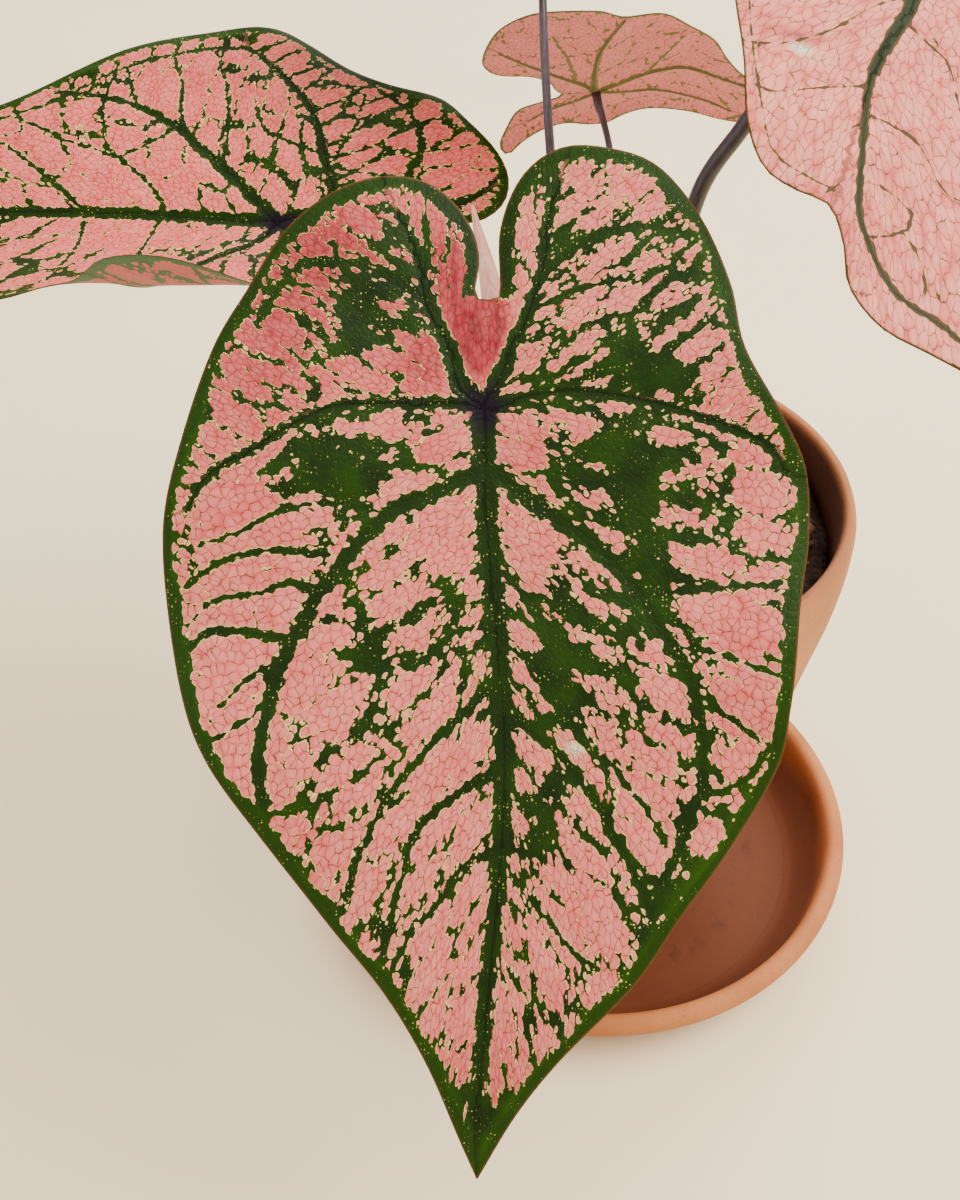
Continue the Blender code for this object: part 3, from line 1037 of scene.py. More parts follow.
@dataclass
class LeafBlade(Maker):
    """A leaf blade: a thin sheet with ribs, cut to its outline and marked in pink and green."""

    name: str
    shape: BladeShape
    finish: LeafFinish
    ribs: tuple[Rib, ...]
    zones: tuple[Patch, ...] = ()
    blushes: tuple[Patch, ...] = ()
    pales: tuple[Patch, ...] = ()
    bare_edges: tuple[Patch, ...] = ()
    grain: Grain = field(default_factory=Grain)
    margin: float = 3.2
    margin_wave: float = 0.5
    margin_wave_width: float = 11.0
    base_zone: float = 0.27
    mesh_size: float = 3.5
    thickness: float = 0.5
    edge_thickness: float = 0.3
    groove: float = 0.07
    ridge: float = 0.45
    quilt: float = 0.5
    quilt_width: float = 4.5
    swell: float = 0.35
    swell_width: float = 15.0
    rim_width: float = 4.0
    settle: float = 0.3

    def rib_lines(self) -> tuple[list, np.ndarray]:
        """The ribs as smooth lines, and every segment of them with its half width at each end.

        Returns:
            The lines, and the segments, one a row.
        """
        lines = [spaced(smooth_path(rib.points, 5), self.mesh_size) for rib in self.ribs]
        rows = []
        for rib, line in zip(self.ribs, lines):
            width = np.linspace(rib.start, rib.end, len(line))
            for i in range(len(line) - 1):
                rows.append((*line[i], *line[i + 1], width[i], width[i + 1], rib.relief))
        return lines, np.array(rows)

    def flat_mesh(self) -> tuple[np.ndarray, np.ndarray]:
        """The flat drawing filled with triangles, whose sides follow the outline and the ribs.

        Returns:
            The flat points and the triangles.
        """
        loop = self.shape.outline(self.mesh_size * 0.8)
        following = np.roll(loop, -1, axis=0)
        lines, segments = self.rib_lines()
        points = [tuple(p) for p in loop]
        edges = []
        for line in lines:
            away = nearest_on_lines(line, loop, following)[0].min(axis=1)
            line = line[away > 1.0]
            first = len(points)
            points += [tuple(p) for p in line]
            edges += [(first + i, first + i + 1) for i in range(len(line) - 1)]
        for point in self.filling(loop, following, segments):
            points.append(tuple(point))
        flat, _, faces, *_ = geometry.delaunay_2d_cdt(
            [Vector(p) for p in points], edges, [list(range(len(loop)))], 1, 0.05)
        return np.array([tuple(p) for p in flat]), np.array([tuple(f) for f in faces])

    def filling(self, loop: np.ndarray, following: np.ndarray, segments: np.ndarray) -> np.ndarray:
        """A three-way grid of points inside the outline, clear of it and of the ribs.

        Args:
            loop: The outline's points.
            following: The point after each.
            segments: The ribs' segments.

        Returns:
            The points, one a row.
        """
        step = self.mesh_size
        low, high = loop.min(axis=0), loop.max(axis=0)
        rows = []
        for row, v in enumerate(np.arange(low[1], high[1], step * math.sqrt(3) / 2)):
            for u in np.arange(low[0] + step / 2 * (row % 2), high[0], step):
                rows.append((u, v))
        grid = np.array(rows)
        spans = (loop[None, :, 1] > grid[:, None, 1]) != (following[None, :, 1] > grid[:, None, 1])
        rise = following[:, 1] - loop[:, 1]
        rise = np.where(rise == 0, 1e-9, rise)
        crossing = loop[:, 0] + (grid[:, None, 1] - loop[:, 1]) * (following[:, 0] - loop[:, 0]) / rise
        inside = (spans & (grid[:, None, 0] < crossing)).sum(axis=1) % 2 == 1
        clear = nearest_on_lines(grid, loop, following)[0].min(axis=1) > step * 0.45
        off_ribs = nearest_on_lines(grid, segments[:, :2], segments[:, 2:4])[0].min(axis=1) > step * 0.4
        return grid[inside & clear & off_ribs]

    @staticmethod
    def refined(flat: np.ndarray, faces: np.ndarray) -> tuple[np.ndarray, np.ndarray]:
        """Each triangle split into four at the middles of its sides.

        Args:
            flat: The flat points.
            faces: The triangles.

        Returns:
            The new points and triangles.
        """
        sides = np.sort(np.concatenate([faces[:, [0, 1]], faces[:, [1, 2]], faces[:, [2, 0]]]), axis=1)
        unique, index = np.unique(sides, axis=0, return_inverse=True)
        middle = len(flat) + index.reshape(3, -1)
        flat = np.vstack([flat, flat[unique].mean(axis=1)])
        a, b, c = faces.T
        ab, bc, ca = middle
        split = [(a, ab, ca), (ab, b, bc), (ca, bc, c), (ab, bc, ca)]
        return flat, np.vstack([np.column_stack(corners) for corners in split])

    @staticmethod
    def border(faces: np.ndarray) -> np.ndarray:
        """The sides that only one triangle has, each in that triangle's direction.

        Args:
            faces: The triangles.

        Returns:
            The sides, as pairs of point numbers.
        """
        sides = np.concatenate([faces[:, [0, 1]], faces[:, [1, 2]], faces[:, [2, 0]]])
        _, index, count = np.unique(np.sort(sides, axis=1), axis=0, return_inverse=True, return_counts=True)
        return sides[count[index.reshape(-1)] == 1]

    def fields(self, flat: np.ndarray) -> dict[str, np.ndarray]:
        """What the finish and the relief need to know at each flat point.

        Args:
            flat: The points on the flat drawing.

        Returns:
            gap, the distance outside the nearest rib's band; margin, the distance from the
            outline; dip, how deep a rib sinks or stands there; and open, the distance from any
            rib's middle.
        """
        loop = self.shape.outline(1.5)
        following = np.roll(loop, -1, axis=0)
        _, segments = self.rib_lines()
        gap, margin, dip, away = [], [], [], []
        for part in np.array_split(flat, max(1, len(flat) // 3000)):
            far, share = nearest_on_lines(part, segments[:, :2], segments[:, 2:4])
            half = segments[:, 4] * (1 - share) + segments[:, 5] * share
            outside = far - half
            gap.append(outside.min(axis=1))
            bump = half * segments[:, 6] * np.exp(-((far / (0.55 * half + 0.25)) ** 2))
            dip.append(bump.max(axis=1))
            away.append(far.min(axis=1))
            margin.append(nearest_on_lines(part, loop, following)[0].min(axis=1))
        return {"gap": np.concatenate(gap), "margin": np.concatenate(margin),
                "dip": np.concatenate(dip), "open": np.concatenate(away)}

    def added(self, patches: tuple[Patch, ...], flat: np.ndarray) -> np.ndarray:
        """The sum of some patches at each flat point.

        Args:
            patches: The patches.
            flat: The flat points.

        Returns:
            The sums.
        """
        total = np.zeros(len(flat))
        for patch in patches:
            total += patch.at(flat[:, 0], flat[:, 1])
        return total

    def build(self) -> bpy.types.Object:
        """Makes the blade's closed mesh, with what its finish reads from each point.

        Returns:
            The blade.
        """
        flat, faces = self.flat_mesh()
        for _ in range(2):
            flat, faces = self.refined(flat, faces)
        known = self.fields(flat)
        top, bottom = self.lifts(flat, known)

        sides = self.border(faces)
        edge, outward = self.rim(flat, sides)
        rim_flat = flat[edge] + outward * (self.edge_thickness * 0.4)
        middle = (top[edge] + bottom[edge]) / 2
        points = np.vstack([self.shape.place(*flat.T, top), self.shape.place(*flat.T, bottom),
                            self.shape.place(*rim_flat.T, middle)])
        count = len(flat)
        number = np.full(count, -1)
        number[edge] = 2 * count + np.arange(len(edge))
        a, b = sides.T
        upper_rim = np.column_stack([b, a, number[a], number[b]])
        lower_rim = np.column_stack([a + count, b + count, number[b], number[a]])
        groups = (faces, faces[:, ::-1] + count, upper_rim, lower_rim)
        every_face = [face for group in groups for face in group.tolist()]
        piece = mesh_piece(self.name + "_sheet", points, every_face, self.name)
        self.store(piece.data, flat, edge, known)
        self.map_faces(piece.data, np.vstack([flat, flat, rim_flat]), len(faces), len(sides))
        return piece

    def lifts(self, flat: np.ndarray, known: dict[str, np.ndarray]) -> tuple[np.ndarray, np.ndarray]:
        """How far the upper and the lower face stand off the blade's sheet at each flat point.

        Args:
            flat: The flat points.
            known: What fields() returned.

        Returns:
            The upper face's lifts and the lower face's.
        """
        rim_fade = np.clip(known["margin"] / self.rim_width, 0, 1)
        quilting = self.quilt * (1 - np.exp(-((known["open"] / self.quilt_width) ** 2))) * rim_fade
        pucker = quilting + self.swell * swells(flat, self.swell_width, 0.0) * rim_fade
        half = (self.edge_thickness + (self.thickness - self.edge_thickness) * rim_fade) / 2
        sunk = pucker - self.groove * known["dip"]
        top = sunk - self.settle + half
        bottom = sunk - self.ridge * known["dip"] * rim_fade - self.settle - half
        return top, bottom

    @staticmethod
    def rim(flat: np.ndarray, sides: np.ndarray) -> tuple[np.ndarray, np.ndarray]:
        """The outline's point numbers, and the way out of the blade at each.

        Args:
            flat: The flat points.
            sides: The outline's sides.

        Returns:
            The numbers, and a unit vector for each.
        """
        along = flat[sides[:, 1]] - flat[sides[:, 0]]
        out = np.column_stack([along[:, 1], -along[:, 0]])
        out /= np.linalg.norm(out, axis=1)[:, None]
        total = np.zeros((len(flat), 2))
        np.add.at(total, sides[:, 0], out)
        np.add.at(total, sides[:, 1], out)
        edge = np.unique(sides)
        outward = total[edge] / np.maximum(np.linalg.norm(total[edge], axis=1), 1e-9)[:, None]
        return edge, outward

    def store(self, mesh: bpy.types.Mesh, flat: np.ndarray, edge: np.ndarray,
              known: dict[str, np.ndarray]) -> None:
        """Stores what the finish reads at each of the mesh's points.

        Args:
            mesh: The blade's mesh.
            flat: The flat points of either face.
            edge: Which flat points the rim's points stand beside.
            known: What fields() returned.
        """
        bare = np.clip(self.added(self.bare_edges, flat), 0, 1)
        band = self.margin * (1 + self.margin_wave * swells(flat, self.margin_wave_width, 7.0)) * (1 - bare)
        gap = np.minimum(known["gap"], known["margin"] - band)
        zone = self.base_zone + self.added(self.zones, flat)
        grain = self.grain.at(flat, self.ribs)
        blush = np.clip(self.added(self.blushes, flat), 0, 1)
        pale = np.clip(self.added(self.pales, flat), 0, 1)
        values = {
            "flat": np.column_stack([flat, zone]),
            "grain": np.column_stack([grain, gap]),
            "tint": np.column_stack([blush, pale, known["margin"]]),
        }
        for name, rows in values.items():
            hold(mesh, name, np.vstack([rows, rows, rows[edge]]))
        hold(mesh, "under", np.repeat([0, 1, 0], [len(flat), len(flat), len(edge)]))

    @staticmethod
    def map_faces(mesh: bpy.types.Mesh, places: np.ndarray, face_count: int, side_count: int) -> None:
        """Writes the texture map, with the upper face on its left half and the lower on its right.

        Args:
            mesh: The blade's mesh.
            places: The flat place of each of its points.
            face_count: How many triangles one face has.
            side_count: How many sides the outline has.
        """
        low = places.min(axis=0)
        size = (places.max(axis=0) - low).max() * 2.1
        corners = np.empty(len(mesh.loops), int)
        mesh.loops.foreach_get("vertex_index", corners)
        spots = (places[corners] - low) / size + 0.01
        lower_face = 3 * face_count
        lower_rim = 6 * face_count + 4 * side_count
        spots[lower_face:2 * lower_face, 0] += 0.5
        spots[lower_rim:, 0] += 0.5
        layer = mesh.uv_layers.new(name="OFBake")
        layer.data.foreach_set("uv", spots.astype(np.float32).ravel())


FRONT_SHAPE = BladeShape(
    joint=(-43, -84, 277),
    along=(0, -0.66, -0.751),
    facing=(0, -0.751, 0.66),
    left=((2, -27), (1, -36), (4, -45), (12, -53), (23, -55), (35, -51), (46, -42), (55, -28),
          (63, -14), (70, 8), (74.5, 27), (74.5, 46), (71, 67), (65, 83), (53, 101), (37, 123),
          (24, 140), (14, 158), (6, 178)),
    right=((-4, -27), (-4, -42), (-9, -55), (-18, -62), (-29, -62), (-41, -57.5), (-51, -45),
           (-57.5, -29), (-60.5, -14), (-69, 1), (-75.5, 14), (-76.5, 30), (-74, 47), (-72, 70),
           (-69.5, 85), (-59, 104), (-47, 121), (-36, 138), (-19, 157), (-8, 172)),
    tip=(1.5, 189),
    arch=0.0008,
    fold=(0.14, 0.14),
    droop=(0.0022, 0.0022),
    wave=1.6,
    wave_length=75,
)

LEFT_SHAPE = BladeShape(
    joint=(-102, 19, 269),
    along=(-0.995, 0.1, -0.02),
    facing=(-0.047, -0.271, 0.962),
    left=((-3, -22), (-6, -30), (-16, -37), (-29, -38), (-43, -31), (-54, -19), (-63, -9),
          (-71, 0), (-74.5, 10), (-73, 20), (-66, 29), (-57.5, 39), (-55, 50), (-53, 61),
          (-49, 78), (-42, 98), (-32, 122), (-20, 146), (-8, 167)),
    right=((3, -22), (6, -40), (7, -55), (15, -63), (26, -64.5), (37, -60), (48, -50), (56, -41),
           (61, -25), (67, -11), (75, 1), (83, 14), (86, 27), (84, 43), (77, 58), (67, 74),
           (56, 93), (46, 113), (33, 136), (18, 159)),
    tip=(2, 180),
    arch=0.0012,
    fold=(0.06, 0.5),
    droop=(0.0012, 0.0),
    curl=(0.032, 31, 15, 42),
    wave=0.8,
    wave_length=60,
)

RIGHT_SHAPE = BladeShape(
    joint=(70, 32, 357),
    along=(-0.1, -0.934, -0.342),
    facing=(0.18, -0.355, 0.918),
    left=((4, -22), (6, -32), (12, -41), (22, -45), (33, -42), (43, -32), (50, -16), (52, 4),
          (51, 26), (49, 50), (46, 70), (44, 88), (39, 99), (31, 103), (23, 105), (19, 114),
          (17, 124), (9, 132), (-3, 136), (-17, 141), (-33, 148)),
    right=((-3, -22), (-6, -34), (-14, -44), (-26, -46), (-38, -39), (-48, -26), (-55, -8),
           (-60, 13), (-65, 36), (-69, 60), (-72, 84), (-71, 108), (-67, 128), (-61, 144)),
    tip=(-53, 158),
    arch=0.0016,
    fold=(0.06, 0.06),
)

BACK_SHAPE = BladeShape(
    joint=(-5, 112, 267),
    along=(0.98, 0.173, 0.102),
    facing=(-0.197, 0.722, 0.663),
    left=((5, -14), (12, -17), (17, -24), (19, -34), (26, -39), (38, -38), (49, -34), (57, -26),
          (58, -17), (54, -5), (47, 4), (47, 16), (40, 25), (32, 34), (21, 40), (11, 48),
          (3, 62)),
    right=((0, -13), (-3, -20), (-7, -26), (-17, -29.5), (-26, -32), (-30, -29), (-25, -24),
           (-20, -17), (-18, -9), (-20.5, -1), (-21, 6), (-17.5, 12), (-15, 20), (-16, 33),
           (-18.5, 47), (-15, 63)),
    tip=(-4, 80),
    arch=0.008,
    lobe_arch=-0.004,
    fold=(0.08, 0.08),
    droop=(0.0012, 0.018),
    wave=0.6,
    wave_length=50,
)

TOP_SHAPE = BladeShape(
    joint=(-26, 64, 335),
    along=(-0.45, 0.86, 0.1),
    facing=(0.0, -0.2, 0.97),
    left=((1.5, -9), (3, -15), (9, -20), (18, -19), (27, -12), (34, 0), (38, 14), (39, 30),
          (36, 48), (29, 66), (20, 82), (10, 97)),
    right=((-1.5, -9), (-3, -16), (-10, -21), (-20, -19), (-29, -10), (-35, 3), (-39, 19),
           (-38, 36), (-33, 54), (-25, 72), (-15, 88), (-6, 101)),
    tip=(3, 112),
    arch=0.003,
    fold=(0.28, 0.28),
    droop=(0.002, 0.002),
    wave=1.0,
    wave_length=46,
)

FRONT_RIBS = (
    Rib(((0, 0), (-1, 25), (-3.3, 52), (-4.8, 78), (-4, 106), (-0.5, 146), (1.5, 171), (1.6, 187)),
        3.0, 1.6),
    Rib(((0, 0), (5, -5), (8, -14), (13, -25), (15, -34), (17, -40), (20, -46)), 2.6, 1.2),
    Rib(((13, -25), (21, -30), (31, -34), (40, -34), (46, -31), (53, -20)), 1.5, 0.8),
    Rib(((0, 0), (5, -1), (15, -1), (26, -1), (36, 0), (46, 5), (54, 10), (64, 16), (69, 24)), 1.7, 1.0),
    Rib(((0, 14), (10, 19), (20, 23), (29, 31), (36, 40), (43, 51), (48, 61), (51, 72), (53, 85), (52, 93)),
        2.0, 1.6),
    Rib(((-4.5, 64), (6, 73), (13, 80), (20, 88), (27, 100), (32, 112), (34, 120)), 1.1, 0.9),
    Rib(((-4.5, 85), (10, 94), (17, 102), (20, 114), (25, 129)), 1.2, 0.7),
    Rib(((-4, 104), (5, 109), (10, 117), (18, 126), (22, 134)), 1.0, 0.6),
    Rib(((-2, 50), (7, 53), (13, 57), (24, 59), (31, 63)), 0.8, 0.5, 0.5),
    Rib(((46, 57), (50, 60), (56, 64), (62, 70)), 0.8, 0.3, 0.4),
    Rib(((36, 34), (47, 33), (55, 34), (62, 36), (70, 42)), 1.1, 0.5, 0.4),
    Rib(((39, 42), (46, 41), (52, 43), (63, 45), (70, 51)), 0.9, 0.4, 0.4),
    Rib(((45, 54), (52, 53), (58, 52), (66, 53), (71, 58)), 1.3, 0.8, 0.4),
    Rib(((50, 66), (54, 72), (64, 78)), 0.6, 0.3, 0.4),
    Rib(((25, 24), (34, 22), (48, 24), (55, 28), (69, 33)), 0.9, 0.4, 0.4),
    Rib(((22, -17), (33, -26), (45, -29)), 0.8, 0.4, 0.4),
    Rib(((22, -18), (30, -28), (36, -39)), 0.9, 0.4, 0.4),
    Rib(((0, 0), (-3, -6), (-6.5, -14), (-10.5, -23), (-14, -34), (-15.5, -45), (-18, -54)), 1.9, 1.3),
    Rib(((-13, -30), (-19, -36), (-25, -40), (-31, -42), (-39, -43), (-48, -41)), 1.2, 0.7),
    Rib(((-10, -22), (-17, -26), (-27, -29), (-41, -32), (-54, -31)), 0.9, 0.4, 0.4),
    Rib(((0, 0), (-5, -1), (-11, -3), (-22, -4), (-33, -2.5), (-44, 0), (-56, 4), (-67, 9), (-71, 15)),
        1.8, 1.1),
    Rib(((0, 12), (-10, 21), (-21, 28), (-29, 35), (-37, 44), (-41, 51), (-47, 60), (-51, 73), (-52, 86),
         (-50, 95), (-47, 104), (-42, 113)), 2.2, 1.3),
    Rib(((-4, 66), (-8, 74), (-15, 79), (-25, 90), (-30, 99), (-37, 112), (-40, 119)), 1.1, 1.3),
    Rib(((-4.3, 107), (-11, 116), (-17, 124), (-22, 130), (-27, 134)), 0.8, 0.5),
    Rib(((-2, 128), (-9, 139), (-14, 145)), 0.6, 0.4),
    Rib(((-22, 68), (-26, 79), (-32, 86), (-41, 98), (-46, 106)), 0.8, 0.4, 0.4),
    Rib(((-3, 34), (-11, 45), (-18, 54)), 0.7, 0.5, 0.4),
    Rib(((-38, 44), (-51, 42), (-70, 41)), 1.2, 0.7, 0.4),
    Rib(((-44, 56), (-54, 57), (-70, 63)), 0.7, 0.4, 0.4),
    Rib(((-50, 66), (-53, 69), (-60, 74), (-66, 79)), 0.6, 0.5, 0.4),
    Rib(((-52, 92), (-57, 90), (-63, 87), (-67, 80)), 0.9, 0.6, 0.4),
)

FRONT_ZONES = (
    Patch(31, 14, 13, 6, -2.3), Patch(44, 17, 7, 5, -1.2), Patch(32, -19, 8, 6, -1.2),
    Patch(26, -23, 6, 8, -1.0), Patch(15, 50, 8, 7, -0.6), Patch(-36, -9, 13, 6, -2.0),
    Patch(-32, 14, 13, 7, -2.0), Patch(-20, 59, 8, 15, -2.0), Patch(-37, 42, 9, 8, -1.3),
    Patch(-48, 26, 9, 8, -0.4), Patch(1, 187, 14, 13, -7), Patch(0, -36, 60, 24, -0.3),
    Patch(-11.5, -40, 3, 13, 1.6), Patch(22, -38, 5, 6, -0.8), Patch(-44, 20, 13, 13, -0.9),
    Patch(-41, 116, 7, 8, -1.4), Patch(-12, 100, 6, 6, -0.8), Patch(28, 56, 8, 7, -0.7),
    Patch(11, 10, 8, 5, 1.4), Patch(9, 28, 8, 10, 2.0), Patch(56, 22, 10, 10, 1.4),
    Patch(61, 60, 12, 24, 2.0), Patch(38, -37, 9, 7, 1.2), Patch(7, -38, 4, 12, 1.0),
    Patch(12, -9, 6, 6, 1.6), Patch(-32, -52, 11, 5, 1.6), Patch(-27, -25, 11, 9, 1.5),
    Patch(-10, 8, 6, 5, 1.6), Patch(-13, 30, 7, 10, 2.0), Patch(-59, 50, 9, 10, 2.2),
    Patch(-62, 71, 8, 12, 2.0), Patch(-37, 92, 10, 16, 1.5), Patch(-24, 122, 10, 14, 1.6),
    Patch(10, 88, 9, 18, 1.8), Patch(32, 108, 12, 16, 1.2), Patch(7, 152, 5, 12, 1.2),
    Patch(-5, 152, 5, 12, 1.2), Patch(41, 66, 7, 14, 1.2), Patch(1, -18, 8, 11, 5.0),
    Patch(10, 130, 8, 14, 1.2), Patch(-6, 16, 4, 5, 0.6), Patch(52, -14, 12, 20, 1.1),
    Patch(30, -46, 18, 7, 1.1), Patch(-59, 4, 11, 30, 1.0), Patch(54, 30, 14, 16, 1.5),
    Patch(26, 44, 9, 12, 0.8), Patch(60, 84, 10, 16, 1.0),
    Patch(-38, -22, 16, 4, -1.3), Patch(-24, -36, 12, 8, -0.3), Patch(24, -8, 10, 6, 0.8),
)

FRONT_BLUSHES = (
    Patch(36, -38, 28, 18, 0.85), Patch(8, -34, 8, 16, 0.55), Patch(13, -9, 9, 9, 0.5),
    Patch(30, -14, 24, 15, 0.4),
    Patch(0, -20, 6, 13, 1.3), Patch(0, 165, 16, 18, 0.55), Patch(56, -4, 18, 26, 0.55),
    Patch(-58, 4, 12, 26, 0.2), Patch(44, 104, 14, 14, 0.35), Patch(12, 10, 9, 6, 0.4),
    Patch(-12, 10, 9, 8, 0.4), Patch(-34, 16, 18, 14, 0.35), Patch(-60, 60, 12, 24, 0.25),
)

LEFT_RIBS = (
    Rib(((0, 0), (1.2, 20), (2.5, 40), (3.3, 55), (4.6, 86), (3.5, 130), (2, 178)), 2.6, 1.2),
    Rib(((0, 0), (3, 3), (18, 17), (30, 29), (42, 42), (49, 54), (53, 66), (56, 80)), 2.2, 0.9),
    Rib(((0, 0), (6, -10), (12, -14), (26, -10), (44, -4), (56, 4), (66, 13), (75, 22)), 2.0, 1.0),
    Rib(((75, 22), (76, 38), (68, 57), (53, 78), (47, 95), (38, 118), (26, 142)), 0.9, 0.6),
    Rib(((12, -26), (16, -36), (22, -35), (33, -38), (47, -34), (60, -20)), 1.4, 0.7),
    Rib(((0, 0), (8, -20), (15, -36), (13, -50), (19, -57), (27, -62)), 2.0, 0.8),
    Rib(((0, 0), (-14, 7), (-22, 14), (-40, 22), (-58, 26)), 1.8, 0.8),
    Rib(((0, 0), (-8, -10), (-20, -20), (-36, -26)), 1.6, 0.7),
    Rib(((30, 29), (42, 37), (58, 40), (73, 46)), 0.7, 0.4, 0.4),
    Rib(((22, 20), (40, 22), (55, 25), (74, 32)), 0.7, 0.4, 0.4),
    Rib(((44, 44), (50, 53), (65, 59)), 0.7, 0.4, 0.4),
    Rib(((28, -9), (33, 3), (37, 10), (52, 16)), 0.7, 0.4, 0.4),
    Rib(((3, 34), (14, 41), (26, 54), (34, 72), (46, 92)), 0.7, 0.5, 0.4),
    Rib(((38, 38), (31, 46), (26, 54)), 0.6, 0.5, 0.4),
    Rib(((5, 60), (20, 76), (35, 94), (40, 108)), 0.8, 0.5, 0.4),
    Rib(((5, 90), (16, 104), (28, 120)), 0.8, 0.4, 0.4),
    Rib(((3, 59), (-16, 56), (-41, 55)), 0.7, 0.4, 0.4),
    Rib(((2, 36), (-16, 36), (-34, 34)), 0.5, 0.4, 0.4),
    Rib(((3, 84), (-14, 88), (-36, 92)), 0.7, 0.4, 0.4),
    Rib(((3, 110), (-10, 118), (-26, 124)), 0.6, 0.4, 0.4),
    Rib(((20, -36), (24, -13), (39, -17), (55, -18)), 0.7, 0.4, 0.4),
)

LEFT_ZONES = (
    Patch(84, 24, 7, 16, -1.8), Patch(52, -32, 9, 8, -1.2), Patch(30, 0, 7, 7, -0.6),
    Patch(64, 74, 7, 20, -0.8), Patch(28, 62, 8, 5, -0.5), Patch(2, 172, 12, 14, -4),
    Patch(56, 42, 16, 18, 1.5), Patch(16, 48, 12, 24, 1.6), Patch(-10, 41, 8, 24, 1.6),
    Patch(30, 90, 14, 18, 1.2), Patch(26, -50, 12, 9, 1.0), Patch(44, 8, 10, 8, 0.8),
)

RIGHT_RIBS = (
    Rib(((0, 0), (2.2, 24), (4, 41), (7, 49), (11, 58), (14, 66)), 2.9, 1.7),
    Rib(((14, 66), (15.5, 76), (16, 97), (16, 105), (14, 111), (11, 117), (5, 124), (-4, 128), (-12, 133),
         (-28, 142), (-50, 156)), 1.3, 0.6),
    Rib(((0, 0), (14, -10), (26, -24), (34, -32)), 1.8, 0.6),
    Rib(((0, 0), (-10, 18), (-24, 40), (-42, 60), (-58, 78)), 1.5, 0.5),
    Rib(((0, 0), (-14, -10), (-26, -22), (-36, -32)), 1.8, 0.6),
    Rib(((0, 0), (14, 8), (30, 18), (46, 32)), 1.3, 0.4),
    Rib(((0, 0), (-18, 4), (-38, 14), (-56, 30)), 1.3, 0.4),
    Rib(((4, 40), (14, 46), (24, 56), (36, 64), (46, 66)), 0.5, 0.3, 0.4),
    Rib(((16, 71), (28, 75), (38, 79), (44, 78)), 0.4, 0.25, 0.4),
    Rib(((6, 49), (0, 54), (-5, 59), (-8, 72), (-14, 88)), 0.5, 0.35, 0.4),
    Rib(((14, 79), (7, 81), (2, 84), (-2, 91), (-4, 95), (-10, 97)), 0.5, 0.35, 0.4),
    Rib(((46, 40), (45, 56), (43, 73), (39, 91), (36, 96), (29, 99), (22, 101)), 0.4, 0.3, 0.4),
    Rib(((13, 111), (5, 108), (3, 102), (11, 97)), 0.4, 0.3, 0.4),
    Rib(((5, 108), (0, 115), (-1, 124)), 0.4, 0.3, 0.4),
    Rib(((17, 82), (24, 88), (31, 97)), 0.3, 0.2, 0.4),
    Rib(((15, 93), (20, 98), (24, 102)), 0.3, 0.2, 0.4),
    Rib(((-10, 97), (-26, 108), (-44, 118), (-60, 122)), 0.5, 0.35, 0.4),
    Rib(((-14, 88), (-32, 92), (-52, 98)), 0.5, 0.35, 0.4),
)

RIGHT_ZONES = (Patch(22, 44, 8, 3, -2.5), Patch(0, 0, 10, 10, -1.0))

BACK_RIBS = (
    Rib(((0, 0), (3, 6), (9, 15), (14, 26), (11, 35), (8, 41), (2, 60), (-4, 78)), 1.4, 0.5),
    Rib(((0, 0), (4, -1), (24, -2), (37, 1), (45, 4)), 1.3, 0.6),
    Rib(((0, 0), (-2.5, 10), (-2.3, 19), (-5, 29), (-9, 40), (-12.5, 47)), 1.1, 0.5),
    Rib(((0, 0), (7, -5), (17, -16), (28, -28), (33, -34)), 1.1, 0.6),
    Rib(((0, 0), (-2.5, -4), (-7.5, -14), (-14, -22)), 1.1, 0.5),
    Rib(((9, 15), (22, 20), (34, 24)), 0.6, 0.3),
    Rib(((12, -8), (26, -12), (42, -18)), 0.6, 0.3),
)

TOP_RIBS = (
    Rib(((0, 0), (-1, 25), (-1, 55), (1, 85), (3, 111)), 1.8, 0.7),
    Rib(((0, 0), (7, -6), (14, -13)), 1.3, 0.6),
    Rib(((0, 0), (-8, -6), (-16, -14)), 1.3, 0.6),
    Rib(((0, 1), (12, 4), (26, 12), (35, 22)), 1.1, 0.6),
    Rib(((0, 1), (-12, 5), (-27, 14), (-36, 25)), 1.1, 0.6),
    Rib(((-0.5, 14), (10, 24), (22, 40), (29, 56)), 1.0, 0.5),
    Rib(((-0.7, 16), (-11, 27), (-22, 43), (-28, 60)), 1.0, 0.5),
    Rib(((-1, 42), (9, 56), (18, 74)), 0.8, 0.4),
    Rib(((-1, 44), (-9, 58), (-17, 76)), 0.8, 0.4),
)


@dataclass
class Stalk(Maker):
    """A leaf stalk, from inside the soil up to the underside of its blade."""

    name: str
    route: tuple[Place, ...]
    thick: float
    thin: float
    blade: BladeShape
    finish: StalkFinish
    sides: int = 20
    meet: float = 0.9
    lead: float = 6.0
    flare: float = 0.55
    flare_rows: float = 3.0

    def path(self) -> np.ndarray:
        """The stalk's middle line, which meets the blade's underside square on.

        Returns:
            The line's points, one a row.
        """
        joint = np.array(self.blade.joint, float)
        normal = self.blade.axes()[2]
        ends = (tuple(joint - normal * self.lead), tuple(joint - normal * self.meet))
        return spaced(smooth_path((*self.route, *ends), 12), 2.5)

    def build(self) -> bpy.types.Object:
        """Makes the stalk as a closed tube, a little flared where it meets the blade.

        Returns:
            The stalk.
        """
        path = self.path()
        share = np.linspace(0, 1, len(path))
        radii = np.interp(share, [0, 1], [self.thick, self.thin])
        flare = self.flare * np.exp(-(((1 - share) * len(path) / self.flare_rows) ** 2))
        return tube(self.name + "_tube", path, radii * (1 + flare), self.sides, self.name)


